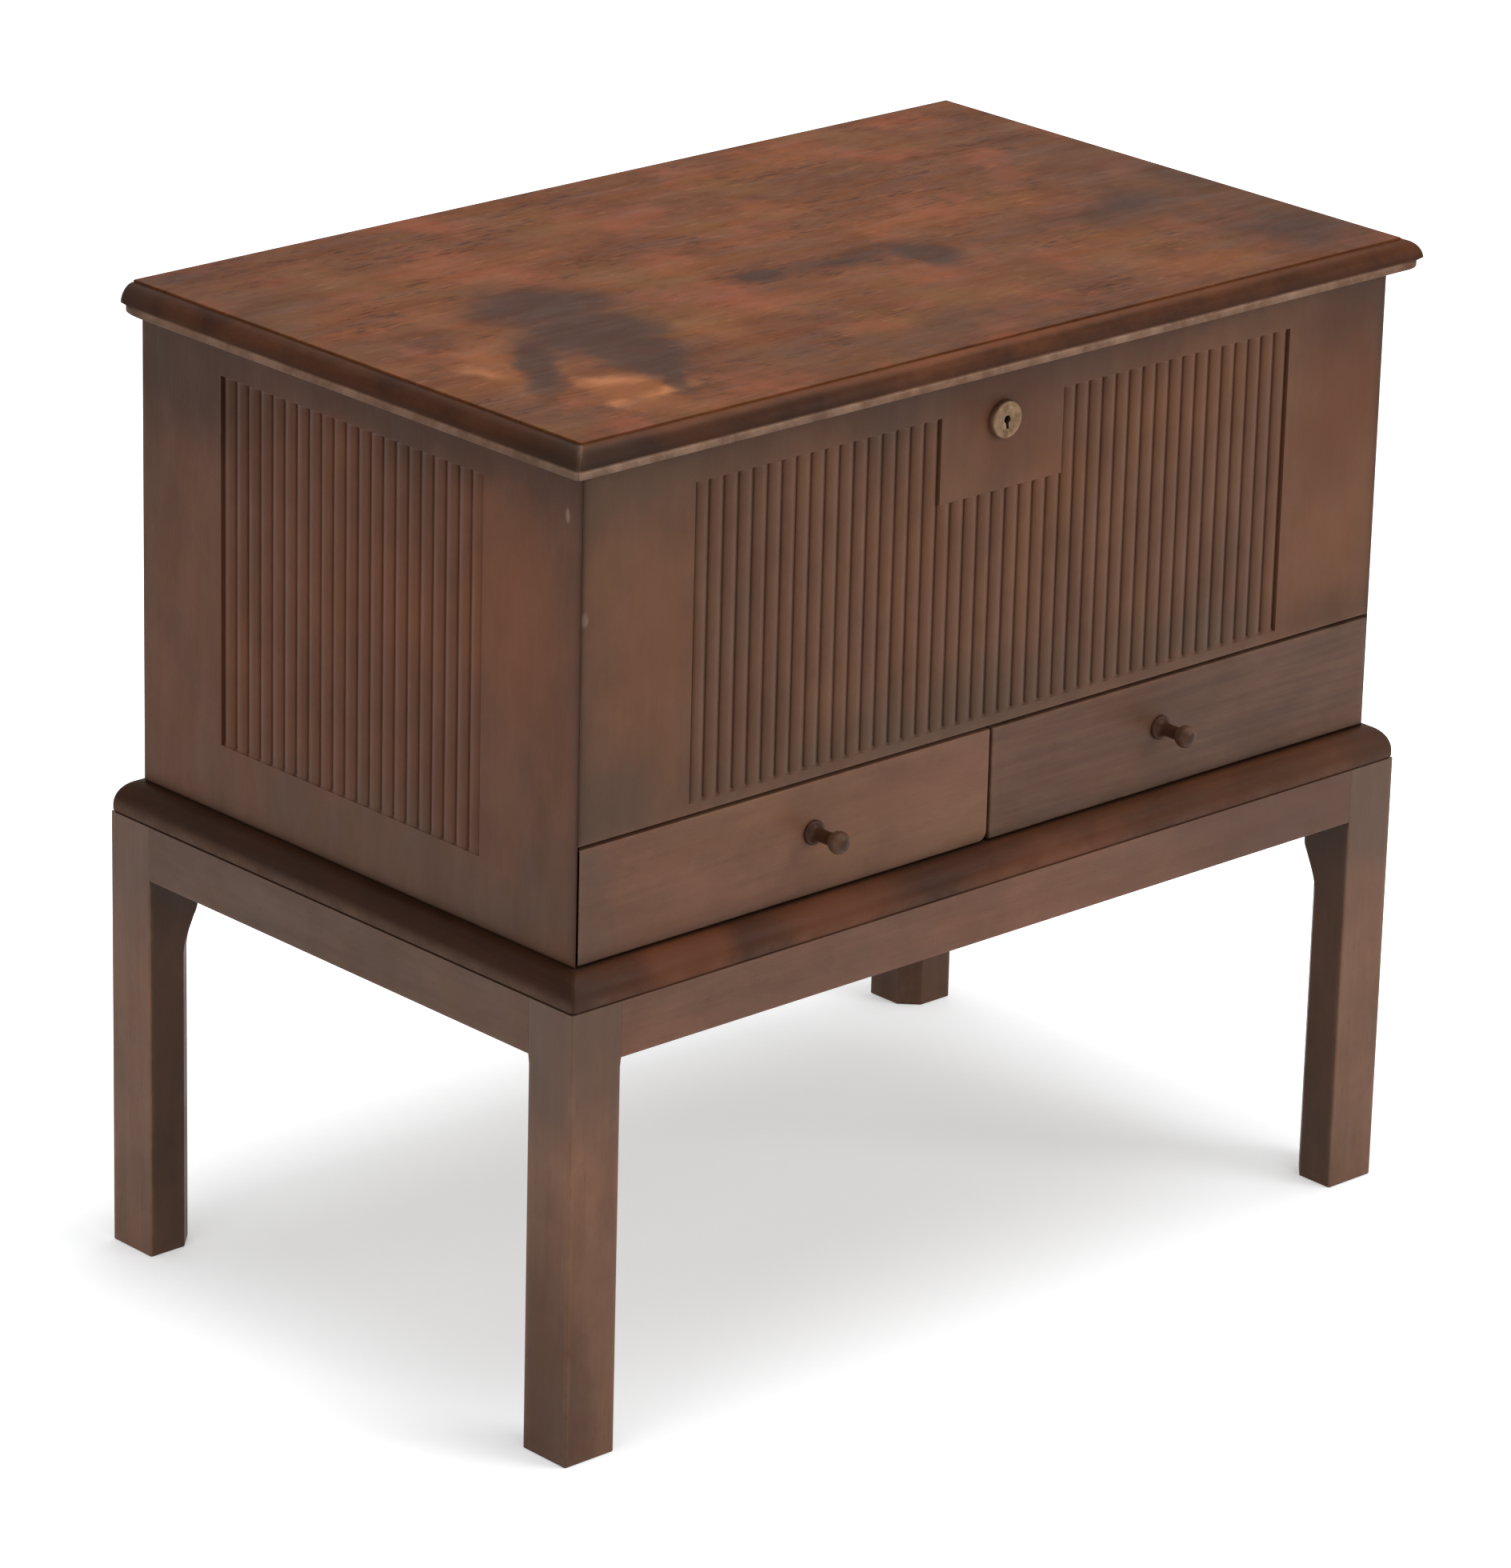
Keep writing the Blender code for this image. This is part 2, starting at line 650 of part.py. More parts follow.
def make_drawer(side, name):
    """A drawer whose sides are dovetailed into the back of its front; side is -1 for left and 1 for right."""
    inner_end = DRAWER_GAP_MIDDLE / 2
    outer_end = CHEST_END - DRAWER_GAP_CORNER
    box_inner = PARTITION / 2 + DRAWER_SLACK
    box_outer = WELL_END - DRAWER_SLACK
    low = BASE_TOP + GAP
    high = DRAWER_FRONT_TOP - GAP
    shoulder = WELL_FRONT + GAP
    rear = WELL_BACK - DRAWER_BACK_CLEARANCE
    slide = add_carrier(f"{name}_slide", (side * KNOB_X, CHEST_FRONT, low), whole)

    def across(first, second):
        return sorted((side * first, side * second))

    front = make_drawer_front(side, name, inner_end, outer_end, slide)

    bottom_low = low + DRAWER_BOTTOM_RISE
    bottom_high = bottom_low + DRAWER_BOTTOM
    grip = DRAWER_BOARD - DRAWER_GROOVE + GAP
    bottom_x = across(box_inner + grip, box_outer - grip)
    bottom_corners = (
        (bottom_x[0], WELL_FRONT - DRAWER_GROOVE + GAP, bottom_low),
        (bottom_x[1], rear, bottom_high),
    )
    board(f"{name}_bottom", *bottom_corners, "lining wood", slide)
    bottom_groove = block_cutter(f"{name}_bottom_groove", *bottom_corners, GAP)

    back_y = rear - DRAWER_BACK_INSET
    back_low = bottom_high + GAP
    back_corners = (
        (bottom_x[0], back_y - DRAWER_BOARD, back_low),
        (bottom_x[1], back_y, high - DRAWER_BACK_DROP),
    )
    board(f"{name}_back", *back_corners, "lining wood", slide)
    back_groove = block_cutter(
        f"{name}_back_groove", back_corners[0], (*back_corners[1][:2], high + CUT_REACH), GAP
    )

    for side_name, near, far in (
        ("inner_side", box_inner, box_inner + DRAWER_BOARD),
        ("outer_side", box_outer - DRAWER_BOARD, box_outer),
    ):
        outline = [(shoulder, low), (rear, low), (rear, high), (shoulder, high)]
        sockets = []
        for middle in reversed(tail_middles(low, high)):
            outline += tail_outline(middle, shoulder, 0, TAIL_LENGTH, 0)
            sockets.append(tail_outline(middle, shoulder, -CUT_REACH, TAIL_LENGTH + GAP, GAP))
        middle_x = side * (near + far) / 2
        piece_name = f"{name}_{side_name}"
        mesh = outline_mesh(piece_name, [outline], DRAWER_BOARD)
        piece = add_piece(piece_name, mesh, (middle_x, 0, 0), slide, "lining wood", SIDE_VIEW)
        cut(piece, bottom_groove, back_groove)
        socket_mesh = outline_mesh(f"{piece_name}_sockets", sockets, DRAWER_BOARD + 2 * GAP)
        cut(front, add_cutter(f"{piece_name}_sockets", socket_mesh, (middle_x, 0, 0), SIDE_VIEW))
    cut(front, bottom_groove)
    make_knob(side, name, front, slide)


def make_drawer_front(side, name, inner_end, outer_end, slide):
    """A drawer front, mitred at its outer end; the left one's lower inner corner is worn round."""
    outline = [
        (side * outer_end, DRAWER_FRONT_BOTTOM),
        (side * outer_end, DRAWER_FRONT_TOP),
        (side * inner_end, DRAWER_FRONT_TOP),
    ]
    if side < 0:
        corner = quarter_round(
            (side * inner_end, DRAWER_FRONT_BOTTOM + WORN_CORNER),
            (side * (inner_end + WORN_CORNER), DRAWER_FRONT_BOTTOM),
        )
        outline += corner
    else:
        outline.append((side * inner_end, DRAWER_FRONT_BOTTOM))
    mesh = outline_mesh(f"{name}_front", [outline], BOARD)
    for vertex in mesh.vertices:
        at_outer_end = side * vertex.co.x > (inner_end + outer_end) / 2
        if at_outer_end and vertex.co.z < 0:
            vertex.co.x -= side * BOARD
    smooth_round(mesh)
    middle_y = CHEST_FRONT + BOARD / 2
    return add_piece(f"{name}_front", mesh, (0, middle_y, 0), slide, "polished wood", FRONT_VIEW)


def make_knob(side, name, front, slide):
    """A turned knob: round head, neck, flange and a tenon let into the drawer front."""
    seat = GAP
    head_middle = KNOB_REACH - KNOB_HEAD_LENGTH / 2
    profile = []
    for step in range(ROUND_STEPS * 2):
        angle = math.pi * step / (ROUND_STEPS * 2)
        radius = KNOB_HEAD_RADIUS * math.sin(angle)
        profile.append((radius, head_middle + KNOB_HEAD_LENGTH / 2 * math.cos(angle)))
    profile = [point for point in profile if point[0] > KNOB_NECK_RADIUS or point[1] > head_middle]
    flange_top = seat + KNOB_FLANGE_THICKNESS
    neck_round = flange_top + KNOB_NECK_RADIUS / 4
    profile += [
        (KNOB_NECK_RADIUS, head_middle - KNOB_HEAD_LENGTH / 2),
        (KNOB_NECK_RADIUS, neck_round),
        (KNOB_FLANGE_RADIUS - KNOB_FLANGE_THICKNESS / 2, flange_top),
        (KNOB_FLANGE_RADIUS, (flange_top + seat) / 2),
        (KNOB_FLANGE_RADIUS, seat),
        (KNOB_TENON_RADIUS, seat),
        (KNOB_TENON_RADIUS, -KNOB_TENON_LENGTH),
        (0, -KNOB_TENON_LENGTH),
    ]
    middle = (side * KNOB_X, CHEST_FRONT, DRAWER_FRONT_BOTTOM + KNOB_HEIGHT)
    turned_piece(f"{name}_knob", profile, middle, slide, "dark wood")
    bore_depth = KNOB_TENON_LENGTH + GAP
    bore_middle = (middle[0], CHEST_FRONT + (bore_depth - CUT_REACH) / 2, middle[2])
    bore = bore_cutter(
        f"{name}_knob_bore", KNOB_TENON_RADIUS + GAP, bore_middle, bore_depth + CUT_REACH
    )
    cut(front, bore)


# Lid


def make_lid():
    """A panel with a moulding applied to its front edge and both ends."""
    inset = LID_MOULDING_RUN + GAP
    lid = board(
        "lid_panel",
        (-LID_END + inset, LID_FRONT + inset, LID_UNDERSIDE),
        (LID_END - inset, CHEST_BACK, LID_TOP),
        "lid wood",
        lid_hinge,
    )
    height = LID_THICKNESS - LID_QUIRK
    profile = [(0, 0), (0, LID_FILLET)]
    profile += quarter_round((LID_FILLET_INSET, LID_FILLET), (LID_MOULDING_RUN, height))
    profile.append((LID_MOULDING_RUN, 0))
    depth = CHEST_BACK - LID_FRONT
    middle_y = (CHEST_BACK + LID_FRONT) / 2
    for name, inward, length, point, mitred in (
        ("lid_moulding_front", (0, 1, 0), 2 * LID_END, (0, LID_FRONT), (True, True)),
        ("lid_moulding_left", (1, 0, 0), depth, (-LID_END, middle_y), (False, True)),
        ("lid_moulding_right", (-1, 0, 0), depth, (LID_END, middle_y), (True, False)),
    ):
        moulding(
            name, profile, length, (*point, LID_UNDERSIDE), inward, mitred, "dark wood", lid_hinge
        )
    return lid


# Hinges


def make_leaf(name, middle_x, knuckles, low_z, carrier):
    """One leaf of a butt hinge: a plate with fingers that end in knuckles round the pin."""
    half = HINGE_LENGTH / 2
    inner = CHEST_BACK - LEAF_WIDTH
    edge = HINGE_Y - KNUCKLE_RADIUS - GAP
    outline = [(half, edge), (half, inner), (-half, inner), (-half, edge)]
    for start, end in knuckles:
        outline += [(start, edge), (start, HINGE_Y), (end, HINGE_Y), (end, edge)]
    outline = drop_repeats(outline)
    mesh = outline_mesh(name, [outline], LEAF_THICKNESS)
    leaf = add_piece(name, mesh, (middle_x, 0, low_z + LEAF_THICKNESS / 2), carrier, "brass")
    axis = (middle_x, HINGE_Y, HINGE_Z)
    barrel = rod_mesh(f"{name}_knuckles", knuckles, KNUCKLE_RADIUS)
    join(leaf, add_cutter(f"{name}_knuckles", barrel, axis))
    bore = rod_mesh(f"{name}_bore", [(-half - CUT_REACH, half + CUT_REACH)], PIN_RADIUS + GAP)
    cut(leaf, add_cutter(f"{name}_bore", bore, axis))


def drop_repeats(outline):
    """The outline without points that stand where the one before them, or the last, stands."""
    kept = []
    for index, point in enumerate(outline):
        if math.dist(point, outline[index - 1]) > GAP / 10:
            kept.append(point)
    return kept


def make_hinge(side, name, lid, back):
    middle_x = side * HINGE_X
    half = HINGE_LENGTH / 2
    pitch = HINGE_LENGTH / KNUCKLE_COUNT
    knuckles = []
    for index in range(KNUCKLE_COUNT):
        start = -half + pitch * index + (GAP / 2 if index else 0)
        end = -half + pitch * (index + 1) - (GAP / 2 if index < KNUCKLE_COUNT - 1 else 0)
        knuckles.append((start, end))
    lid_low = LID_UNDERSIDE
    back_low = CHEST_TOP - LEAF_THICKNESS
    make_leaf(f"{name}_lid_leaf", middle_x, knuckles[1::2], lid_low, lid_hinge)
    make_leaf(f"{name}_back_leaf", middle_x, knuckles[0::2], back_low, whole)
    pin = rod_mesh(f"{name}_pin", [(-half, half)], PIN_RADIUS)
    add_piece(f"{name}_pin", pin, (middle_x, HINGE_Y, HINGE_Z), whole, "brass")
    low = (middle_x - half - GAP, CHEST_BACK - LEAF_WIDTH - GAP)
    high = (middle_x + half + GAP, HINGE_Y)
    lid_recess = block_cutter(
        f"{name}_lid_recess", (*low, lid_low - CUT_REACH), (*high, lid_low + LEAF_THICKNESS + GAP)
    )
    back_recess = block_cutter(
        f"{name}_back_recess", (*low, back_low - GAP), (*high, CHEST_TOP + CUT_REACH)
    )
    cut(lid, lid_recess)
    cut(back, back_recess)


# Lock


def make_lock(front, lid):
    """A chest lock: its case let into the front board, its bolt, and the eye under the lid."""
    case_low = Vector((-LOCK_WIDTH / 2, LOCK_Y - LOCK_THICKNESS / 2, CHEST_TOP - LOCK_HEIGHT))
    case_high = Vector((LOCK_WIDTH / 2, LOCK_Y + LOCK_THICKNESS / 2, CHEST_TOP))
    case = board("lock_case", case_low, case_high, "brass", whole)
    fit = Vector((GAP, GAP, GAP))
    clear = Vector((0, CUT_REACH, CUT_REACH))
    cut(front, block_cutter("lock_mortise", case_low - fit, case_high + fit + clear))

    eye_x = EYE_THICKNESS / 2
    eye_y = EYE_WIDTH / 2
    bolt_y = BOLT_THICKNESS / 2
    bolt_z = BOLT_HEIGHT / 2
    eye_bottom = LID_UNDERSIDE - EYE_DROP
    slot_x = eye_x + EYE_SLACK
    slot_y = eye_y + EYE_SLACK
    slot = block_cutter(
        "eye_slot",
        (-slot_x, LOCK_Y - slot_y, eye_bottom - EYE_SLACK),
        (slot_x, LOCK_Y + slot_y, CHEST_TOP + CUT_REACH),
    )
    bolt_end = -slot_x - EYE_SLACK
    bolt_start = bolt_end - BOLT_LENGTH
    channel = block_cutter(
        "bolt_channel",
        (bolt_start, LOCK_Y - bolt_y, BOLT_Z - bolt_z),
        (bolt_end + BOLT_TRAVEL, LOCK_Y + bolt_y, BOLT_Z + bolt_z),
        BOLT_SLACK,
    )
    cut(case, slot, channel)

    slide = add_carrier("lock_bolt_slide", (bolt_end, LOCK_Y, BOLT_Z), whole)
    board(
        "lock_bolt",
        (bolt_start, LOCK_Y - bolt_y, BOLT_Z - bolt_z),
        (bolt_end, LOCK_Y + bolt_y, BOLT_Z + bolt_z),
        "steel",
        slide,
    )

    plate_low = Vector((-LINK_PLATE_LENGTH / 2, LOCK_Y - LINK_PLATE_WIDTH / 2, LID_UNDERSIDE))
    plate_high = Vector((LINK_PLATE_LENGTH / 2, LOCK_Y + LINK_PLATE_WIDTH / 2, LID_UNDERSIDE))
    plate_high.z += LINK_PLATE_THICKNESS
    plate = board("lock_link_plate", plate_low, plate_high, "brass", lid_hinge)
    eye = block_cutter(
        "lock_eye",
        (-eye_x, LOCK_Y - eye_y, eye_bottom),
        (eye_x, LOCK_Y + eye_y, LID_UNDERSIDE + LINK_PLATE_THICKNESS / 2),
    )
    eye_hole = block_cutter(
        "lock_eye_hole",
        (-eye_x - CUT_REACH, LOCK_Y - bolt_y, BOLT_Z - bolt_z),
        (eye_x + CUT_REACH, LOCK_Y + bolt_y, BOLT_Z + bolt_z),
        BOLT_SLACK,
    )
    join(plate, eye)
    cut(plate, eye_hole)
    clear = Vector((0, 0, CUT_REACH))
    cut(lid, block_cutter("link_plate_recess", plate_low - fit - clear, plate_high + fit))


def make_escutcheon(front):
    """A turned brass disc with a keyhole, on a collar that lines the hole in the front board."""
    seat = GAP
    rim = ESCUTCHEON_RADIUS - ESCUTCHEON_ROUND
    dish = ESCUTCHEON_REACH - ESCUTCHEON_DISH
    profile = [
        (KEYHOLE_RADIUS, dish),
        (ESCUTCHEON_RADIUS / 2, dish),
        (rim - ESCUTCHEON_ROUND, ESCUTCHEON_REACH),
        (rim, ESCUTCHEON_REACH),
        (ESCUTCHEON_RADIUS, ESCUTCHEON_REACH - ESCUTCHEON_ROUND),
        (ESCUTCHEON_RADIUS, seat),
        (COLLAR_RADIUS, seat),
        (COLLAR_RADIUS, -COLLAR_LENGTH),
        (KEYHOLE_RADIUS, -COLLAR_LENGTH),
    ]
    middle = (0, CHEST_FRONT, KEYHOLE_Z)
    escutcheon = turned_piece("escutcheon", profile, middle, whole, "brass", closed=True)
    slot = block_cutter(
        "keyhole_slot",
        (
            -KEYHOLE_SLOT_WIDTH / 2,
            CHEST_FRONT - ESCUTCHEON_REACH - CUT_REACH,
            KEYHOLE_Z - KEYHOLE_SLOT_DROP,
        ),
        (KEYHOLE_SLOT_WIDTH / 2, CHEST_FRONT + COLLAR_LENGTH + CUT_REACH, KEYHOLE_Z),
    )
    cut(escutcheon, slot)
    depth = BOARD - LOCK_THICKNESS
    bore = bore_cutter(
        "keyhole_bore",
        COLLAR_RADIUS + GAP,
        (0, CHEST_FRONT + depth / 2, KEYHOLE_Z),
        depth + 2 * CUT_REACH,
    )
    cut(front, bore)


whole = add_carrier("chest_on_stand", (0, 0, 0))
lid_hinge = add_carrier("lid_hinge", (0, HINGE_Y, HINGE_Z), whole)

make_aprons(make_legs())
make_rails()
front_board, back_board = make_case()
make_drawer(-1, "drawer_left")
make_drawer(1, "drawer_right")
lid_panel = make_lid()
make_hinge(-1, "hinge_left", lid_panel, back_board)
make_hinge(1, "hinge_right", lid_panel, back_board)
make_lock(front_board, lid_panel)
make_escutcheon(front_board)
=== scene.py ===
"""Dresses the chest on stand in worked wood, brass and steel, and sets the floor, the light and the camera.

World metres, +Z up, the front faces -Y. Places come from the boxes of the CAD nodes in model.glb, and sizes
that only the worked surfaces need are named below.
"""

import math

import bmesh
import bpy
import numpy as np
from mathutils import Matrix, Vector


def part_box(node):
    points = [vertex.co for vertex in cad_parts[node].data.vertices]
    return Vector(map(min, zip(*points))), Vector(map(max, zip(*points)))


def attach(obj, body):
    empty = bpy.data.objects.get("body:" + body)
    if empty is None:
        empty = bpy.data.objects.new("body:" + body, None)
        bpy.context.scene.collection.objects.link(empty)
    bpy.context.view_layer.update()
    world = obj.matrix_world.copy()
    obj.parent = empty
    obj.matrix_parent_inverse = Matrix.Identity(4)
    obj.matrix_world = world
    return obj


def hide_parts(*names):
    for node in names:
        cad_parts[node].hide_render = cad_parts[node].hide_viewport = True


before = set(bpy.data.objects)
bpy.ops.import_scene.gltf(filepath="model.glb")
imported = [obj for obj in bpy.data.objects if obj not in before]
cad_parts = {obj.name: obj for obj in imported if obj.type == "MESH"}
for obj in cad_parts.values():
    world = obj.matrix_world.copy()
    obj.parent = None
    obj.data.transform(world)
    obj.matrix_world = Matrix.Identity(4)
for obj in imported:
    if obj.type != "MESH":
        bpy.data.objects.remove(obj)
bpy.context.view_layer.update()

BODY = "chest_and_stand"
SIDES = ("left", "right")

# Edges
ARRIS = 0.0011  # radius of a softened edge
LID_ARRIS = 0.0004  # of the lid's panel, between its mouldings
CORNER_ARRIS = 0.0022  # radius of the chest's mitred corners
LEAST_ROUND = 0.00005  # radius of an edge that is left sharp
ARRIS_STEPS = 4
WALL_LEAN = 0.0001  # how far the wall of a cut leans
MITRE_GAP = 0.00012  # from a mitre's plane to the wood on each side
SHARP_ANGLE = math.radians(40)
SAME_POINT = 1e-7  # up to which points are one
TINY = 1e-9  # against rounding
WEAR_REACH = 0.0024  # over which an edge's wear fades
WEAR_LINES = np.array((0.001, 0.0025, 0.005, 0.009))  # grid lines inside a softened edge
PLAIN_STEP = 0.016  # between grid lines on plain wood
FIT = 0.0003  # clearance round a piece that is let in
SEAM = 0.0001  # between an apron and a leg

# Reeds
REED_PITCH = 0.0125
REED_DEPTH = 0.0032
REED_GROOVE = 0.0016
REED_CROWN_DROP = 0.0005
REED_STEPS = 10  # across one reed
REED_STOP = 0.0022  # length over which a reed meets its stop
STOP_STEPS = np.array((-0.02, 0.0, 0.03, 0.1, 0.25, 0.5, 1.0))  # shares of that length
# painted shade at the bottom of the reeds' grooves
GROOVE_SHADE = 0.06
GROOVE_SHADE_POWER = 1.6  # of the depth
CORNER_DIRT = 0.85
CORNER_DIRT_REACH = 0.0042
FRONT_REEDS_BESIDE = 17  # on each side of the lock block
FRONT_REEDS_BELOW = 9  # under the lock block
FRONT_REED_RISE = 0.0075
REED_TOP_MARGIN = 0.0275
LOCK_BLOCK_DROP = 0.059
END_REEDS = 21
END_REED_MARGIN = 0.096
END_REED_RISE = 0.0487

# Boards and what is let into them
BOARD = 0.020
BACK_REBATE = 0.010
HOUSING_DEPTH = 0.0063
MITRE_PULL = 0.06  # width near a mitred end over which inner grid lines close up
KEYHOLE_POCKET = 0.006  # half its side
KEYHOLE_POCKET_DEPTH = 0.008
TAIL_COUNT = 3
TAIL_HALF_WIDTH = 0.0078
DRAWER_GROOVE = 0.004
WORN_CORNER = 0.007
WORN_CORNER_STEPS = 8

# Legs
LEG_CHAMFER = 0.013
CHAMFER_HEIGHT = 0.216
CHAMFER_RUN_OUT = 0.044
RUN_OUT_STEPS = 18
LEG_ARRIS = 0.0014
LEG_STEP = 0.02  # between plain rings
LEG_FOOT = 0.008  # height of the first plain ring
LEG_PLAIN = np.array((0.003, 0.008))  # grid lines beside an edge
JOINT_RUN = 0.006  # below the apron, over which an edge sharpens
FOOT_WEAR_REACH = 0.004
STAND_WEAR = 0.6  # of the chamfers and of the edges of the aprons
# painted shade, under the chest
INNER_LEG_SHADE = 0.62  # on the faces that look under the chest
CORNER_STEPS = 6

# Mouldings
LID_LEFT_CORNER = 0.004  # plan radii of the lid fillet's worn corners
LID_RIGHT_CORNER = 0.0180
LID_BACK_CORNER = 0.0090
LID_OVOLO_CORNER = 0.0045
PLAIN_STRETCH = 2.5  # length of a plain end's round against its depth
LID_FADE = 0.035  # over which the fillet's wear fades towards the right and the back
MITRE_WEAR = 0.8
MITRE_WEAR_REACH = 0.0012
LID_FILLET = 0.0046
LID_FILLET_SETBACK = 0.0008
LID_FILLET_ARRIS = 0.0006
LID_FILLET_WEAR = (0.75, 0.85)  # at its foot and its head
LID_END_WEAR = 0.8  # against the front
# painted shadow in the quirk
LID_QUIRK_SHADE = 0.50  # where the ovolo meets the fillet
# darker along the edge of the panel
LID_SEAM_DARKENING = 0.12  # along the edge of the panel
RAIL_CORNER = 0.0035
RAIL_QUIRK = 0.0010
RAIL_FILLET = 0.0035
RAIL_FILLET_ARRIS = 0.0007
RAIL_OVOLO_WIDTH = 0.016
RAIL_WORN_RISE = 0.006  # of the wear above the fillet
RAIL_WEAR = 0.5
# painted shade where the chest stands on the rails
FOOT_SHADE = 0.9  # where the chest stands on the rails
FOOT_SHADE_REACH = 0.0035
ROUND_STEPS = 14
MOULDING_STEP = 0.03  # between sections on a plain stretch

# Boards and metal that keep their CAD shape
WOOD_SOFTENING = 0.0006
METAL_SOFTENING = 0.00025
SOFTENED_ANGLE = math.radians(50)
LOOSE_GAP = 0.00001  # up to which loose triangles are welded
SLIVER_GAP = 0.000001

AMBIENT = 0.55  # light from all round


def node_box(node):
    """Lowest and highest corner of a CAD node, as numpy arrays."""
    low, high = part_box(node)
    return np.array(low), np.array(high)


chest_low = node_box("end_left")[0]
chest_high = node_box("end_right")[1]
stand_low = node_box("leg_front_left")[0]
stand_high = node_box("leg_back_right")[1]
STAND_MIDDLE = (stand_low[1] + stand_high[1]) / 2


# Grids and skins


def lines(*stretches):
    """Grid lines from several stretches of values, sorted and without repeats."""
    return np.unique(np.round(np.concatenate([np.atleast_1d(stretch) for stretch in stretches]), 7))


def even_lines(low, high, step=PLAIN_STEP):
    """Evenly spaced lines from low to high, no further apart than the step."""
    return np.linspace(low, high, max(2, math.ceil((high - low) / step) + 1))


def edge_distances(radius, turn=math.pi / 2):
    """Distances from an edge at which its round is cut: r times one less the sine of even angles."""
    angles = np.linspace(0, turn, ARRIS_STEPS + 1)
    return np.concatenate((radius * (1 - np.sin(angles)), radius + WEAR_LINES))


def edged_lines(low, high, low_distances, high_distances):
    """Lines across a face: crowded as given at each edge, and evenly spaced between."""
    first = low + low_distances
    last = high - high_distances
    return lines(first, even_lines(first.max(), last.min()), last)


def wall_lines(*places):
    """A line on each side of every place where a cut has its wall."""
    places = np.array(places)
    return np.concatenate((places - WALL_LEAN, places + WALL_LEAN))


def arris_drop(across, up, radius):
    """How far a face falls near its edges.

    The fall is r less the root of r squared less the squares of (r - distance) for the two nearest edges.
    """
    inside = np.maximum(radius - across, 0) ** 2 + np.maximum(radius - up, 0) ** 2
    return radius - np.sqrt(np.maximum(radius**2 - inside, 0))


def from_edges(values, low, high):
    """Distance from the nearer of two edges."""
    return np.minimum(values - low, high - values)


def wear_from(*distances):
    """Wear that fades exponentially with the distance from the nearest edge."""
    nearest = np.minimum.reduce([np.maximum(distance, 0) for distance in distances])
    return np.exp(-nearest / WEAR_REACH)


def inside_span(values, span):
    return (values >= span[0]) & (values <= span[1])


def widened(low, high, by=FIT):
    """A span made wider at both ends."""
    return (low - by, high + by)


def recess(u, v, u_span, v_span, depth):
    """A field that is depth inside a rectangle and nothing outside it."""
    return np.where(inside_span(u, u_span) & inside_span(v, v_span), depth, 0.0)


def pulled_in(values, low_inset, high_inset):
    """The same lines, closed up near their ends so that the outermost two lie further in."""
    low, high = values.min(), values.max()
    knots = (low, low + MITRE_PULL, high - MITRE_PULL, high)
    return np.interp(values, knots, (low + low_inset, knots[1], knots[2], high - high_inset))


def lay(u, v, depth, face, outward):
    """Points over u and v at a depth below a face; outward is the face's axis and sense, as in -Y."""
    axis = "XYZ".index(outward[1])
    sense = 1 if outward[0] == "+" else -1
    first, second = [other for other in range(3) if other != axis]
    points = np.empty(u.shape + (3,))
    points[..., first] = u
    points[..., second] = v
    points[..., axis] = face - sense * depth
    return points


def quad_faces(rows, columns, wrap_rows=False, wrap_columns=False):
    """The quads between neighbouring grid lines, as rows of four point numbers."""
    index = np.arange(rows * columns).reshape(rows, columns)
    if wrap_rows:
        index = np.vstack((index, index[:1]))
    if wrap_columns:
        index = np.hstack((index, index[:, :1]))
    corners = (index[:-1, :-1], index[1:, :-1], index[1:, 1:], index[:-1, 1:])
    return np.stack(corners, -1).reshape(-1, 4)


def shell(top, bottom):
    """A closed skin: one grid of points, a second grid of the same size, and a strip round their border."""
    rows, columns = top.shape[:2]
    count = rows * columns
    index = np.arange(count).reshape(rows, columns)
    rim = np.concatenate((index[0, :-1], index[:-1, -1], index[-1, :0:-1], index[:0:-1, 0]))
    after = np.roll(rim, -1)
    strip = np.stack((rim, after, after + count, rim + count), -1)
    quads = quad_faces(rows, columns)
    faces = np.concatenate((quads, quads[:, ::-1] + count, strip))
    return np.concatenate((top.reshape(-1, 3), bottom.reshape(-1, 3))), faces.tolist()


def tube(points):
    """A closed skin from rings of points, one ring to a row, with a flat cap at each end."""
    rows, columns = points.shape[:2]
    faces = quad_faces(rows, columns, wrap_columns=True).tolist()
    index = np.arange(rows * columns).reshape(rows, columns)
    return points.reshape(-1, 3), faces + [index[0].tolist(), index[-1, ::-1].tolist()]


def make_piece(node, skin, finish, values=None, body=BODY, ending="worked"):
    """A finished piece in place of a node, from a skin of points and faces, with its values as attributes.

    Only screws are added to their node and leave it as it is.
    """
    name = f"{node}_{ending}"
    points, faces = skin
    mesh = bpy.data.meshes.new(name)
    mesh.from_pydata(points.tolist(), [], faces)
    for title, field in (values or {}).items():
        layer = mesh.attributes.new(title, "FLOAT", "POINT")
        layer.data.foreach_set("value", np.ascontiguousarray(field, dtype=np.float32).ravel())
    shape = bmesh.new()
    shape.from_mesh(mesh)
    bmesh.ops.remove_doubles(shape, verts=shape.verts, dist=SAME_POINT)
    bmesh.ops.recalc_face_normals(shape, faces=shape.faces)
    shape.to_mesh(mesh)
    shape.free()
    mesh.shade_smooth()
    mesh.set_sharp_from_angle(angle=SHARP_ANGLE)
    mesh.materials.append(FINISH[finish])
    piece = bpy.data.objects.new(name, mesh)
    bpy.context.scene.collection.objects.link(piece)
    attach(piece, body)
    if ending != "screws":
        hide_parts(node)


# Shader helpers


def tone(red, green, blue):
    """A colour given as it looks on a screen, from 0 to 255, turned to linear light."""
    shares = np.array((red, green, blue)) / 255
    linear = np.where(shares <= 0.04045, shares / 12.92, ((shares + 0.055) / 1.055) ** 2.4)
    return (*linear.tolist(), 1.0)


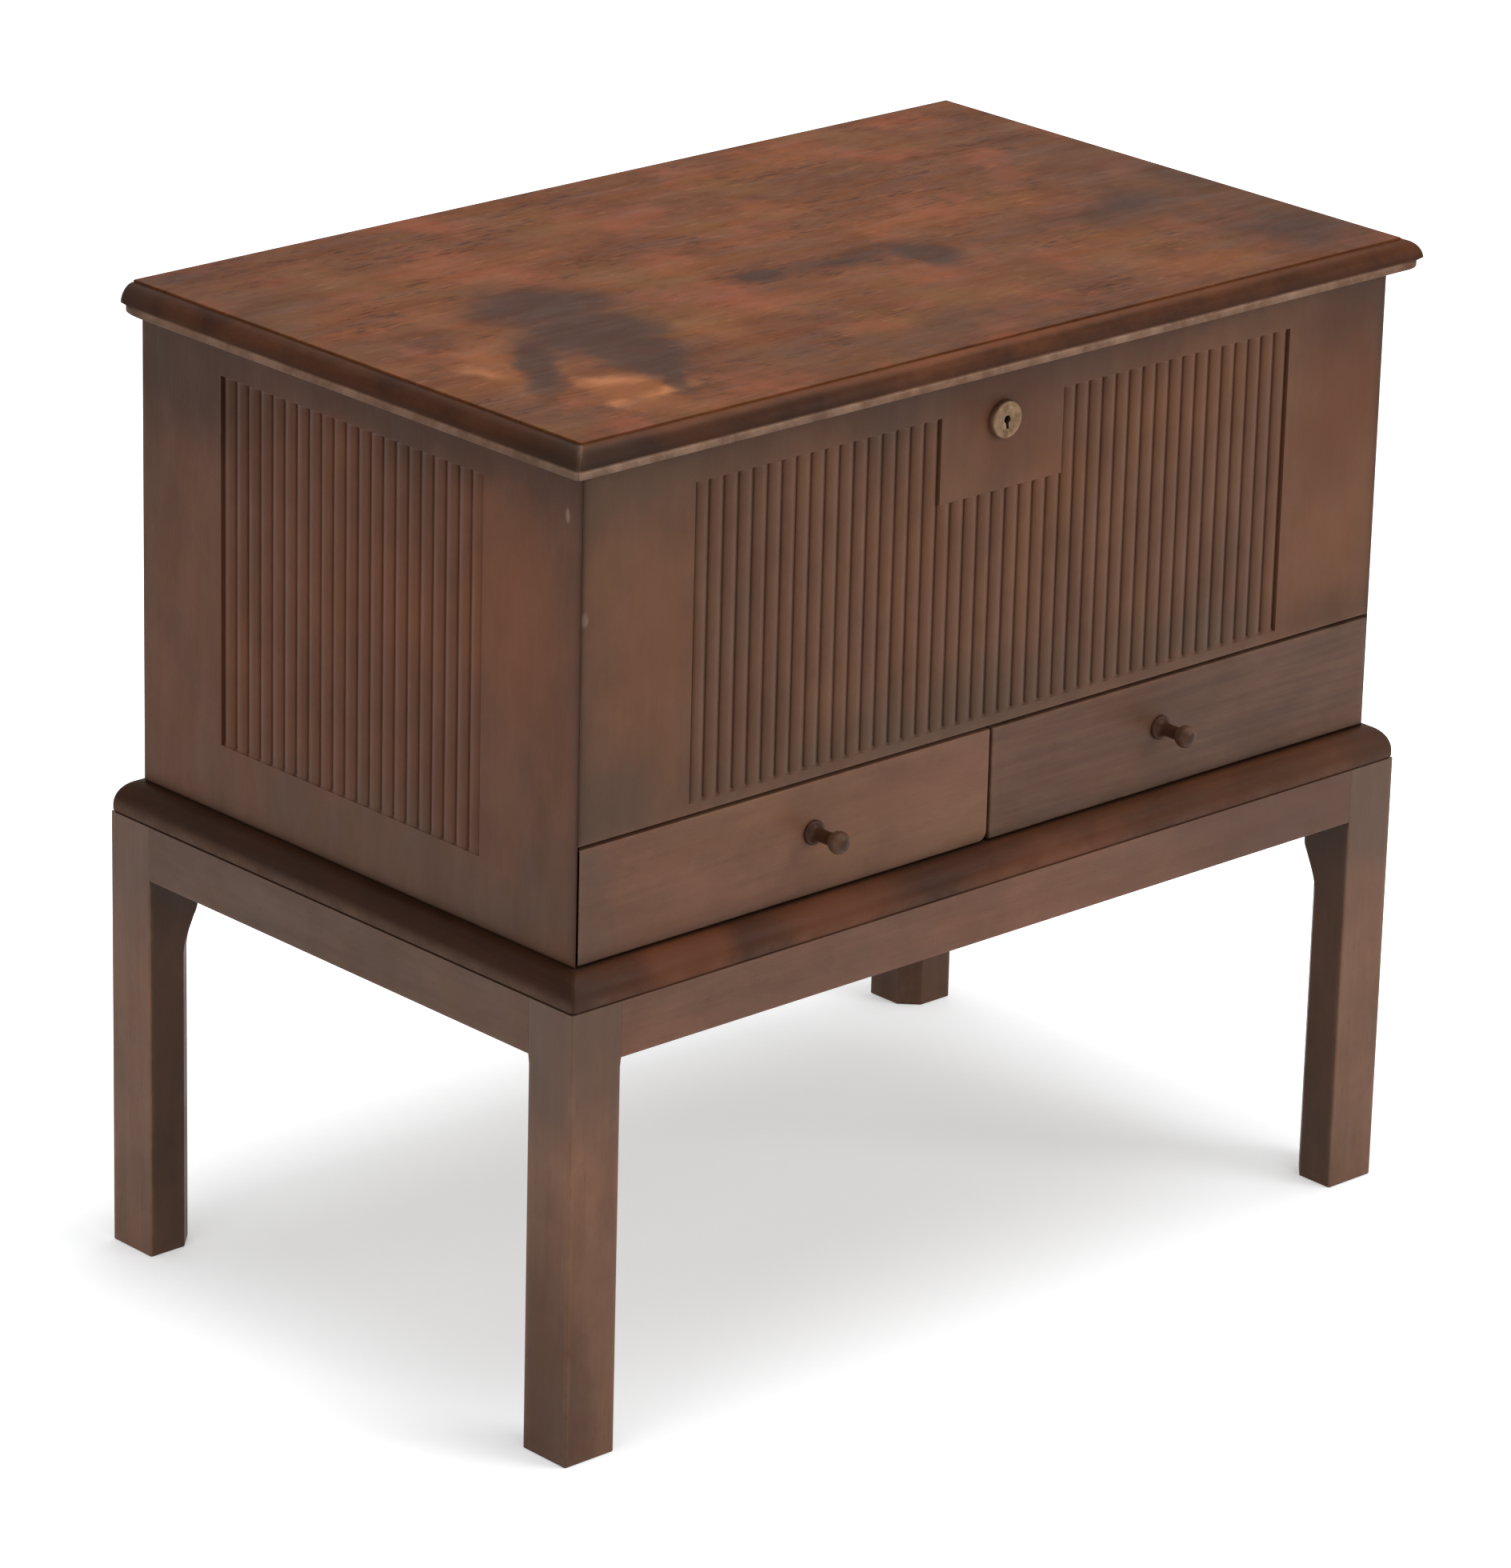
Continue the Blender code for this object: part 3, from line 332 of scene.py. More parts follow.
def add_node(tree, kind, inputs=None, **settings):
    """A shader node; inputs maps a socket's name or number to a value or to another node's output."""
    made = tree.nodes.new(kind)
    for key, value in settings.items():
        setattr(made, key, value)
    for key, value in (inputs or {}).items():
        if isinstance(value, bpy.types.NodeSocket):
            tree.links.new(value, made.inputs[key])
        else:
            made.inputs[key].default_value = value
    return made


def calculate(tree, operation, first, second=0.0, clamp=False):
    made = add_node(tree, "ShaderNodeMath", {0: first, 1: second}, operation=operation, use_clamp=clamp)
    return made.outputs[0]


def times(tree, first, second, clamp=False):
    return calculate(tree, "MULTIPLY", first, second, clamp)


def blend(tree, share, first, second, mode="MIX"):
    """One colour blended into another."""
    inputs = {0: share, 6: first, 7: second}
    return add_node(tree, "ShaderNodeMix", inputs, data_type="RGBA", blend_type=mode).outputs[2]


def darkened(tree, share, colour, by):
    """A colour multiplied by a tone where a share says so."""
    return blend(tree, share, colour, blend(tree, 1.0, colour, tone(*by), "MULTIPLY"))


def ramp(tree, value, stops, interpolation="LINEAR"):
    """A colour for each value, from stops of a place and a colour or a grey level."""
    made = add_node(tree, "ShaderNodeValToRGB", {0: value})
    made.color_ramp.interpolation = interpolation
    elements = made.color_ramp.elements
    while len(elements) < len(stops):
        elements.new(1.0)
    for element, (place, colour) in zip(elements, stops):
        element.position = place
        element.color = colour if isinstance(colour, tuple) else (colour, colour, colour, 1.0)
    return made.outputs[0]


def noise(tree, vector, scale, detail=3.0, roughness=0.55, distortion=0.0, output="Fac"):
    names = ("Vector", "Scale", "Detail", "Roughness", "Distortion")
    inputs = dict(zip(names, (vector, scale, detail, roughness, distortion)))
    return add_node(tree, "ShaderNodeTexNoise", inputs).outputs[output]


def mapped(tree, vector, location=(0, 0, 0), rotation=(0, 0, 0), scale=(1, 1, 1), kind="POINT"):
    inputs = {"Vector": vector, "Location": location, "Rotation": rotation, "Scale": scale}
    return add_node(tree, "ShaderNodeMapping", inputs, vector_type=kind).outputs[0]


def combine(tree, operation, *vectors):
    return add_node(tree, "ShaderNodeVectorMath", dict(enumerate(vectors)), operation=operation).outputs[0]


def attribute(tree, title):
    return add_node(tree, "ShaderNodeAttribute", attribute_name=title).outputs["Fac"]


def object_place(tree):
    return add_node(tree, "ShaderNodeTexCoord").outputs["Object"]


def new_material(name):
    """A material with one principled shader; gives the material, its node tree and the shader."""
    material = bpy.data.materials.new(name)
    material.use_nodes = True
    tree = material.node_tree
    return material, tree, tree.nodes["Principled BSDF"]


# Finishes

FINISH = {}
GRAIN_TURN = {"X": (0, 0, 0), "Y": (0, 0, -math.pi / 2), "Z": (0, math.pi / 2, 0)}
FAR = 10.0  # half size of a cloud that runs through the whole piece
MOTTLE = 0.16


def on_face(normal, first, second, third):
    """Two values on a face's own axes and a third along its normal, in the order x, y, z."""
    values = [first, second]
    values.insert(normal, third)
    return values


def clouds(tree, place, colour, node, normal, groups):
    """Adds clouds of other tones, which are stains and painted shade, shadow and highlight: soft ovals on one
    outer face of a node, bent and broken by noise.

    A group has a tint, how much of it shows at most, the strength at which it does, how far noise bends it,
    and its ovals. An oval has its middle as two shares of the face, two half sizes and a strength. It may
    also have a turn, and a half size along the normal.
    """
    low, high = node_box(node)
    wander = combine(tree, "SUBTRACT", noise(tree, place, 13, 5, 0.62, output="Color"), (0.5, 0.5, 0.5))
    broken = calculate(tree, "ADD", noise(tree, place, 23, 4), 0.5)
    broken = calculate(tree, "SUBTRACT", broken, attribute(tree, "hidden"))
    for tint, most, fullest, bend, *ovals in groups:
        bent = combine(tree, "MULTIPLY_ADD", wander, (bend, bend, bend), place)
        total = 0.0
        for across, up, half_across, half_up, strength, *more in ovals:
            turn, bound = more + [0.0, FAR][len(more) :]
            middle = low + (high - low) * on_face(normal, across, up, 0.5)
            half = on_face(normal, half_across, half_up, bound)
            oval = mapped(tree, bent, middle.tolist(), on_face(normal, 0, 0, turn), half, "TEXTURE")
            soft = add_node(tree, "ShaderNodeTexGradient", {"Vector": oval}, gradient_type="SPHERICAL")
            total = calculate(tree, "MAXIMUM", total, times(tree, soft.outputs["Fac"], strength))
        seen = ramp(tree, times(tree, total, broken), ((0.08, 0.0), (fullest, most)), "EASE")
        colour = blend(tree, seen, colour, tone(*tint))
    return colour


def lid_figure(tree, place, colour):
    """Figure of the lid: faint bands along X, short lines that gather in some, red and olive patches."""
    bands = noise(tree, mapped(tree, place, scale=(1, 6, 1)), 6, 5, 0.6, 0.4)
    colour = darkened(tree, ramp(tree, bands, ((0.40, 0.30), (0.62, 0.0))), colour, (176, 150, 138))
    gathered = noise(tree, mapped(tree, place, scale=(1, 3, 1)), 7, 3)
    short = mapped(tree, place, scale=(1, 4.5, 1))
    dashes = ramp(tree, noise(tree, short, 66, 2, 0.5), ((0.56, 0.0), (0.66, 1.0)))
    dashes = times(tree, dashes, ramp(tree, gathered, ((0.42, 0.1), (0.62, 0.8))))
    colour = darkened(tree, dashes, colour, (146, 122, 112))
    for tint, offset in (((126, 66, 42), 0.0), ((98, 64, 30), 3.0)):
        patches = noise(tree, mapped(tree, place, (offset, offset, offset)), 17, 4, 0.6)
        colour = blend(tree, ramp(tree, patches, ((0.50, 0.0), (0.68, 0.5))), colour, tone(*tint))
    flecks = ramp(tree, noise(tree, short, 60, 2, 0.5), ((0.62, 0.0), (0.74, 0.22)))
    return blend(tree, flecks, colour, tone(150, 98, 64))


def lid_edge_figure(tree, place, colour):
    """Figure of the lid's mouldings: dark mottling."""
    patches = ramp(tree, noise(tree, place, 17, 5, 0.70), ((0.44, 0.0), (0.70, 0.80)))
    return darkened(tree, patches, colour, (160, 152, 146))


def wood(name, grain, tones, seed, streak=0.2, pore=0.2, wear=0.3, wear_tone=(128, 98, 78), least_wear=0.15,
         gloss=(0.38, 0.54), specular=0.14, patch=3.2, figure=None, cloudy=()):
    """Polished wood.

    Three tones drift over each other in broad patches, with a finer mottling. Long streaks and short pores
    follow the grain. A figure and clouds may add to the colour; some clouds are painted shade, shadow and
    highlight. Edges are worn paler, and where the piece says so, corners hold dirt, and grooves, feet and
    faces under the chest hold painted shade.
    """
    material, tree, shader = new_material(name)
    place = object_place(tree)
    along = mapped(tree, place, (seed, 0.37 * seed, 0.71 * seed), GRAIN_TURN[grain])
    broad = noise(tree, mapped(tree, along, scale=(1, 2.2, 2.2)), patch, 4, 0.55, 0.5)
    colour = ramp(tree, broad, list(zip((0.32, 0.50, 0.68), (tone(*each) for each in tones))))

    fibres = mapped(tree, along, scale=(1, 24, 24))
    streaks = ramp(tree, noise(tree, fibres, 7, 6, 0.62, 0.3), ((0.36, 1.0), (0.62, 0.0)))
    colour = darkened(tree, times(tree, streaks, streak), colour, (160, 142, 130))
    short = mapped(tree, along, scale=(1, 14, 14))
    pores = ramp(tree, noise(tree, short, 95, 2, 0.5), ((0.60, 0.0), (0.70, 1.0)))
    colour = darkened(tree, times(tree, pores, pore), colour, (130, 112, 100))
    mottled = noise(tree, mapped(tree, along, scale=(0.6, 1, 1)), 28, 5, 0.65)
    shades = ((0.34, 1 + 0.7 * MOTTLE), (0.66, 1 - MOTTLE))
    colour = blend(tree, 1.0, colour, ramp(tree, mottled, shades), "MULTIPLY")
    if figure:
        colour = figure(tree, place, colour)
    for node, normal, groups in cloudy:
        colour = clouds(tree, place, colour, node, normal, groups)
    colour = blend(tree, times(tree, attribute(tree, "hidden"), 0.6), colour, tone(84, 58, 42))

    uneven = ramp(tree, noise(tree, place, 9, 3), ((0.35, 0.75), (0.65, 1.0)))
    # darkens with dirt, and with painted shade in grooves, creases, feet and under the chest
    dirt_and_shade = times(tree, attribute(tree, "dirt_and_shade"), uneven, clamp=True)
    colour = blend(tree, dirt_and_shade, colour, tone(40, 26, 18))
    patchy = ramp(tree, noise(tree, place, 46, 4, 0.65), ((0.38, least_wear), (0.66, 1.0)))
    rubbed = times(tree, times(tree, attribute(tree, "wear"), patchy), wear, clamp=True)
    colour = blend(tree, rubbed, colour, tone(*wear_tone))
    tree.links.new(colour, shader.inputs["Base Color"])

    haze = noise(tree, mapped(tree, along, scale=(1, 4, 4)), 14, 4, 0.6)
    polish = ramp(tree, haze, ((0.3, gloss[0]), (0.7, gloss[1])))
    worn_polish = calculate(tree, "ADD", polish, times(tree, rubbed, 0.12))
    tree.links.new(worn_polish, shader.inputs["Roughness"])
    shader.inputs["Specular IOR Level"].default_value = specular
    relief = calculate(tree, "SUBTRACT", times(tree, streaks, -0.35), pores)
    bump = add_node(tree, "ShaderNodeBump", {"Strength": 0.22, "Distance": 0.0003, "Height": relief})
    tree.links.new(bump.outputs[0], shader.inputs["Normal"])
    FINISH[name] = material


def metal(name, bright, dull, roughness, scratch_scale):
    """Aged metal: a bright and a tarnished tone in cloudy patches, fine scratches and spots."""
    material, tree, shader = new_material(name)
    place = object_place(tree)
    tarnish = noise(tree, place, 160, 5, 0.6)
    colour = ramp(tree, tarnish, ((0.36, tone(*dull)), (0.64, tone(*bright))))
    spots = ramp(tree, noise(tree, place, 620, 3, 0.5), ((0.62, 0.0), (0.72, 0.6)))
    colour = darkened(tree, spots, colour, (120, 104, 84))
    rubbed = times(tree, attribute(tree, "wear"), 0.5, clamp=True)
    colour = blend(tree, rubbed, colour, tone(*bright))
    colour = blend(tree, attribute(tree, "dirt_and_shade"), colour, tone(46, 34, 24))
    tree.links.new(colour, shader.inputs["Base Color"])
    shader.inputs["Metallic"].default_value = 1.0
    scratches = noise(tree, mapped(tree, place, scale=(1, 0.06, 1)), scratch_scale, 3, 0.6)
    spread = ramp(tree, tarnish, ((0.3, roughness + 0.1), (0.7, roughness - 0.06)))
    scratched = calculate(tree, "ADD", spread, times(tree, scratches, 0.06))
    tree.links.new(scratched, shader.inputs["Roughness"])
    bump = add_node(tree, "ShaderNodeBump", {"Strength": 0.2, "Distance": 0.0002, "Height": scratches})
    tree.links.new(bump.outputs[0], shader.inputs["Normal"])
    FINISH[name] = material


# Clouds, in the form that their function gives

LID_CLOUDS = (
    ((134, 80, 44), 0.5, 0.8, 0.11,
     (0.13, 0.13, 0.055, 0.085, 0.9),
     (0.1, 0.36, 0.05, 0.11, 0.75, -0.6),
     (0.31, 0.27, 0.07, 0.06, 0.5, 0.2),
     (0.8, 0.12, 0.13, 0.06, 0.45, 0.1),
     (0.55, 0.72, 0.22, 0.08, 0.35)),
    ((164, 106, 68), 0.6, 0.85, 0.06,
     (0.135, 0.2, 0.034, 0.022, 0.9),
     (0.165, 0.11, 0.04, 0.015, 0.95, 0.1),
     (0.1, 0.1, 0.022, 0.018, 0.75),
     (0.06, 0.33, 0.018, 0.03, 0.7)),
    ((66, 42, 26), 0.55, 0.75, 0.12,
     (0.98, 0.45, 0.14, 0.3, 0.9),
     (0.02, 0.75, 0.05, 0.16, 0.7),
     (0.45, 0.08, 0.24, 0.05, 0.85),
     (0.02, 0.1, 0.04, 0.08, 0.7),
     (0.66, 0.3, 0.1, 0.06, 0.6, 0.2),
     (0.91, 0.33, 0.1, 0.08, 0.75)),
    ((50, 31, 22), 0.84, 0.58, 0.05,
     (0.23, 0.53, 0.08, 0.085, 0.8, -0.2),
     (0.212, 0.385, 0.08, 0.064, 1.05, 0.1),
     (0.207, 0.275, 0.046, 0.09, 1.0, -0.2),
     (0.186, 0.16, 0.018, 0.075, 0.7, -0.3),
     (0.11, 0.295, 0.1, 0.022, 0.9, 0.9),
     (0.55, 0.425, 0.14, 0.034, 0.5, -0.05),
     (0.612, 0.385, 0.034, 0.05, 0.85, 0.2),
     (0.448, 0.44, 0.036, 0.024, 0.7, 0.1),
     (0.86, 0.375, 0.2, 0.06, 0.5, 0.05),
     (0.945, 0.13, 0.105, 0.105, 0.55, 0.2),
     (0.985, 0.44, 0.045, 0.12, 0.4),
     (0.04, 0.96, 0.09, 0.04, 0.4),
     (0.62, 0.015, 0.33, 0.02, 0.4)),
)
FRONT_CLOUDS = (
    ((112, 69, 43), 0.4, 0.6, 0.08,
     (0.08, 0.46, 0.065, 0.13, 0.75, 0.1),
     (0.935, 0.4, 0.085, 0.16, 0.95),
     (0.56, 0.66, 0.06, 0.045, 0.6),
     (0.4, 0.55, 0.16, 0.11, 0.45),
     (0.75, 0.8, 0.15, 0.08, 0.5)),
    # painted shade over the lock block and the right of the front
    ((86, 48, 31), 0.55, 0.6, 0.06,
     (0.5, 0.87, 0.08, 0.07, 0.8),
     (0.94, 0.68, 0.06, 0.11, 0.8)),
    ((70, 57, 46), 0.42, 0.6, 0.08,
     (0.045, 0.93, 0.11, 0.055, 0.75),
     (0.045, 0.07, 0.11, 0.07, 0.6),
     (0.42, 0.06, 0.33, 0.055, 0.7),
     (0.72, 0.08, 0.16, 0.05, 0.75)),
    # painted shadow of the lid along the top of the front, and a darker patch at its lower right corner
    ((56, 37, 26), 0.48, 0.6, 0.04,
     (0.5, 1.04, 0.52, 0.062, 0.9),
     (0.95, 0.98, 0.09, 0.09, 0.8),
     (0.95, 0.0, 0.08, 0.045, 0.6)),
    ((132, 106, 90), 0.70, 0.60, 0.012, (0.004, 0.6, 0.004, 0.007, 0.9)),
)
END_CLOUDS = (
    ((112, 66, 40), 0.4, 0.6, 0.08,
     (0.15, 0.66, 0.075, 0.1, 0.8),
     (0.4, 0.6, 0.12, 0.09, 0.45)),
    ((76, 60, 49), 0.45, 0.6, 0.08,
     (0.45, 0.06, 0.3, 0.075, 0.8),
     (0.05, 0.12, 0.07, 0.09, 0.6)),
    # painted shadow of the lid along the top of the end
    ((46, 29, 18), 0.62, 0.6, 0.06,
     (0.9, 0.98, 0.2, 0.11, 0.85),
     (0.35, 1.02, 0.36, 0.07, 0.9)),
    ((132, 106, 90), 0.70, 0.60, 0.012, (0.03, 0.9, 0.003, 0.007, 0.9, 0.0, 0.05)),
)
LID_EDGE_CLOUDS = (
    ((36, 26, 20), 0.65, 0.60, 0.05, (1.0, 0.5, 0.06, 0.06, 0.9, 0.0, 0.1)),
    ((40, 29, 21), 0.55, 0.60, 0.05, (0.0, 0.5, 0.05, 0.06, 0.9, 0.0, 0.1)),
)
# painted highlight: a warmer, lighter band along the top of the front moulding's ovolo
LID_FRONT_HIGHLIGHT = (((122, 72, 44), 0.32, 0.95, 0.003, (0.38, 1.0, 0.62, 0.0035, 1.0)),)
RAIL_CLOUDS = (
    ((100, 56, 34), 0.55, 0.55, 0.05,
     (0.13, 0.5, 0.06, 0.05, 0.85),
     (0.3, 0.5, 0.1, 0.04, 0.6),
     (0.55, 0.2, 0.12, 0.025, 0.55)),
    ((52, 36, 28), 0.6, 0.55, 0.05,
     (0.0, 0.5, 0.05, 0.05, 0.8),
     (1.0, 0.5, 0.07, 0.05, 0.8)),
)
LEG_CLOUDS = (((76, 61, 51), 0.64, 0.60, 0.06, (0.5, 1.0, FAR, 0.13, 0.9)),)
NEAR_FOOT_CLOUDS = (((62, 38, 25), 0.58, 0.60, 0.05, (0.0, 0.05, 0.034, 0.22, 0.95, 0.0, 0.06)),)
APRON_CLOUDS = (((66, 48, 39), 0.58, 0.60, 0.06, (1.0, 0.5, 0.29, 0.12, 0.9)),)
LEFT_DRAWER_CLOUDS = (((72, 57, 46), 0.50, 0.60, 0.03, (0.0, 0.5, 0.045, 0.09, 0.9)),)

REEDED = {"streak": 0.07, "pore": 0.06, "specular": 0.1}
LID_EDGE_TONES = ((57, 31, 14), (71, 39, 20), (87, 49, 27))
LID_EDGE = {"streak": 0.3, "wear": 0.95, "wear_tone": (142, 114, 96), "least_wear": 0.45, "specular": 0.06}
LINING_TONES = ((140, 106, 76), (152, 116, 82), (162, 124, 88))

spots = [("front_board", 1, FRONT_CLOUDS)]
wood("front wood", "Z", ((86, 62, 49), (93, 64, 48), (99, 67, 47)), 1.3, **REEDED, cloudy=spots)
spots = [("end_left", 0, END_CLOUDS)]
wood("end wood", "Z", ((82, 55, 40), (91, 58, 42), (97, 61, 42)), 4.1, **REEDED, cloudy=spots)
spots = [("drawer_left_front", 1, LEFT_DRAWER_CLOUDS)]
wood("left drawer wood", "X", ((98, 68, 52), (104, 70, 53), (106, 74, 52)), 2.2, 0.14, cloudy=spots)
wood("right drawer wood", "X", ((78, 57, 45), (86, 60, 46), (92, 63, 47)), 7.4, 0.34)
wood("lid wood", "X", ((88, 48, 23), (97, 54, 25), (106, 60, 27)), 3.3, 0.16, 0.3, 0.25, gloss=(0.42, 0.6),
     specular=0.05, patch=5.0, figure=lid_figure, cloudy=[("lid_panel", 2, LID_CLOUDS)])
spots = [("lid_moulding_left", 0, LID_EDGE_CLOUDS)]
wood("lid end moulding wood", "Y", LID_EDGE_TONES, 8.8, **LID_EDGE, figure=lid_edge_figure, cloudy=spots)
spots.append(("lid_moulding_front", 1, LID_FRONT_HIGHLIGHT))
wood("lid moulding wood", "X", LID_EDGE_TONES, 5.9, **LID_EDGE, figure=lid_edge_figure, cloudy=spots)
wood("front rail wood", "X", ((54, 30, 17), (66, 37, 21), (76, 44, 26)), 6.6, 0.3, wear_tone=(132, 100, 80),
     specular=0.08, cloudy=[("stand_rail_front", 1, RAIL_CLOUDS)])
wood("end rail wood", "Y", ((44, 25, 14), (52, 29, 16), (60, 34, 20)), 9.2, 0.3, wear=0.6,
     wear_tone=(126, 98, 80), least_wear=0.5, specular=0.06)
spots = [("leg_front_left", 0, LEG_CLOUDS), ("leg_front_left", 1, NEAR_FOOT_CLOUDS)]
wood("leg wood", "Z", ((101, 76, 61), (108, 77, 60), (115, 79, 60)), 2.9, 0.14, cloudy=spots)
spots = [("apron_front", 1, APRON_CLOUDS)]
wood("front apron wood", "X", ((97, 69, 54), (104, 71, 55), (109, 73, 55)), 3.7, 0.16, cloudy=spots)
wood("end apron wood", "Y", ((80, 60, 48), (88, 63, 49), (93, 65, 49)), 5.1, 0.16)
wood("back board wood", "X", ((80, 56, 43), (90, 60, 45), (98, 64, 46)), 6.1, 0.3)
wood("turned knob wood", "Y", ((50, 30, 20), (64, 39, 26), (80, 50, 34)), 1.9, wear=0.45,
     wear_tone=(118, 88, 70), gloss=(0.26, 0.4), specular=0.1)
wood("lining wood along X", "X", LINING_TONES, 4.4)
wood("lining wood along Y", "Y", LINING_TONES, 5.5)
metal("old brass", (150, 124, 82), (104, 84, 56), 0.42, 900)
metal("rubbed brass", (122, 98, 76), (92, 72, 54), 0.55, 700)
metal("filed steel", (150, 148, 144), (112, 108, 104), 0.40, 1200)


# Reeded boards


def reed_span(start, count):
    """Where a row of reeds begins and ends, with half a groove outside the first and the last."""
    return widened(start, start + REED_PITCH * count, REED_GROOVE / 2)


def reed_depths(u, start, count):
    """Depth of a row of reeds: each rises as half an ellipse from the groove floor to just below the face."""
    across = ((u - start) / REED_PITCH % 1 - 0.5) * REED_PITCH
    half_reed = (REED_PITCH - REED_GROOVE) / 2
    rise = (REED_DEPTH - REED_CROWN_DROP) * np.sqrt(np.maximum(1 - (across / half_reed) ** 2, 0))
    return np.where(inside_span(u, reed_span(start, count)), REED_DEPTH - rise, 0.0)


def reed_lines(start, count):
    """Lines across each reed, at the cosine of even angles, and at the walls of the row."""
    middles = start + REED_PITCH * (np.arange(count) + 0.5)
    half_reed = (REED_PITCH - REED_GROOVE) / 2
    steps = half_reed * np.cos(np.linspace(0, math.pi, REED_STEPS + 1))
    return lines((middles[:, None] + steps).ravel(), wall_lines(*reed_span(start, count)))


def stop_share(v, low, high):
    """Share of the full depth between two stops: it rises from each stop as a quarter of an ellipse."""
    near = np.clip(from_edges(v, low, high) / REED_STOP, 0, 1)
    return np.sqrt(1 - (1 - near) ** 2)


def stop_lines(place, into):
    """Lines where a reed meets its stop; into is 1 if the reeds lie above the stop and -1 if below."""
    return place + into * REED_STOP * STOP_STEPS


def housing_spans(nodes):
    """Heights between which each board is let in."""
    boxes = [node_box(node) for node in nodes]
    return [widened(low[2], high[2]) for low, high in boxes]


def housings(v, spans):
    """Depth of the grooves across the whole inner face for the boards that are let into it."""
    return sum(np.where(inside_span(v, span), HOUSING_DEPTH, 0.0) for span in spans)


def face_values(wear, dirt_and_shade):
    """Attributes of a shell whose inner grid has no dirt, painted shade or wear, and is hidden when the chest
    is shut.
    """
    nothing = np.zeros(wear.shape)
    return {
        "wear": np.stack((wear, nothing)),
        "dirt_and_shade": np.stack((dirt_and_shade, nothing)),
        "hidden": np.stack((nothing, nothing + 1)),
    }


def foot_shade(rise):
    """Painted shade along the chest's foot, which fades with the height above it."""
    return FOOT_SHADE * np.exp(-np.maximum(rise, 0) / FOOT_SHADE_REACH)


def reeded_grid(low, high, across_lines, rows, u_walls, v_walls):
    """The grid of a reeded board between two heights, and the depth of its reeds.

    A row has its start, its count of reeds, and the heights of its stops. Its depth is that of the reeds
    times the share that the stops leave.
    """
    stops = [(stop_lines(bottom, 1), stop_lines(top, -1)) for _, _, bottom, top in rows]
    u_lines = lines(across_lines, *[reed_lines(*row[:2]) for row in rows], wall_lines(*u_walls))
    v_lines = lines(edged_lines(low, high, board_edge, board_edge), np.ravel(stops), wall_lines(*v_walls))
    u, v = np.meshgrid(u_lines, v_lines)
    depths = [reed_depths(u, *row[:2]) * stop_share(v, *row[2:]) for row in rows]
    return u_lines, u, v, np.maximum.reduce(depths)


def board_dirt_and_shade(reeds, to_corner):
    """Darkening of a reeded board: a little painted shade at the bottom of its grooves, and more along its
    mitred corner, in the dark joint line.
    """
    in_grooves = GROOVE_SHADE * (reeds / REED_DEPTH) ** GROOVE_SHADE_POWER
    return np.maximum(in_grooves, CORNER_DIRT * np.exp(-to_corner / CORNER_DIRT_REACH))


def board_depth(reeds, to_corner, to_back, up):
    """Depth of a reeded board: its reeds, or its rounded edges where they fall deeper."""
    rounding = np.maximum(arris_drop(to_corner, np.inf, CORNER_ARRIS), arris_drop(to_back, up, ARRIS))
    return np.maximum(reeds, rounding)


board_edge = edge_distances(ARRIS)
board_corner = edge_distances(CORNER_ARRIS, math.pi / 4) + MITRE_GAP
board_inset = BOARD - board_corner.min() + 2 * MITRE_GAP


def make_front_board():
    """The front: a grid over X and Z whose depth is the reeds' row times their stops, and a softened edge."""
    low, high = node_box("front_board")
    case_low, case_high = node_box("lock_case")
    left, right, face = chest_low[0], chest_high[0], chest_low[1]
    middle_start = -FRONT_REEDS_BELOW * REED_PITCH / 2
    left_start = middle_start - FRONT_REEDS_BESIDE * REED_PITCH
    reed_low = low[2] + FRONT_REED_RISE
    reed_high = high[2] - REED_TOP_MARGIN
    block_low = reed_high - LOCK_BLOCK_DROP
    keyhole = sum(node_box("escutcheon")) / 2
    pocket_x, pocket_z = [widened(keyhole[axis], keyhole[axis], KEYHOLE_POCKET) for axis in (0, 2)]
    mortise_x = widened(case_low[0], case_high[0])
    mortise_z = (case_low[2] - FIT, np.inf)
    let_in = housing_spans(["chest_floor"])

    rows = (
        (left_start, FRONT_REEDS_BESIDE, reed_low, reed_high),
        (middle_start, FRONT_REEDS_BELOW, reed_low, block_low),
        (-middle_start, FRONT_REEDS_BESIDE, reed_low, reed_high),
    )
    across_lines = edged_lines(left, right, board_corner, board_corner)
    walls = (*mortise_x, *pocket_x), (mortise_z[0], *pocket_z, *let_in[0])
    u_lines, u, v, reeds = reeded_grid(low[2], high[2], across_lines, rows, *walls)
    across = from_edges(u, left + MITRE_GAP, right - MITRE_GAP)
    up = from_edges(v, low[2], high[2])
    depth = board_depth(reeds, across, np.inf, up)
    depth += recess(u, v, pocket_x, pocket_z, KEYHOLE_POCKET_DEPTH)

    inner_u = np.broadcast_to(pulled_in(u_lines, board_inset, board_inset), u.shape)
    inner_depth = BOARD - recess(inner_u, v, mortise_x, mortise_z, high[1] - case_low[1] + FIT)
    inner_depth -= housings(v, let_in)
    skin = shell(lay(u, v, depth, face, "-Y"), lay(inner_u, v, inner_depth, face, "-Y"))
    # painted shade in the reeds' grooves, and the dark joint line along the mitred corners
    values = face_values(wear_from(up), board_dirt_and_shade(reeds, across))
    make_piece("front_board", skin, "front wood", values)


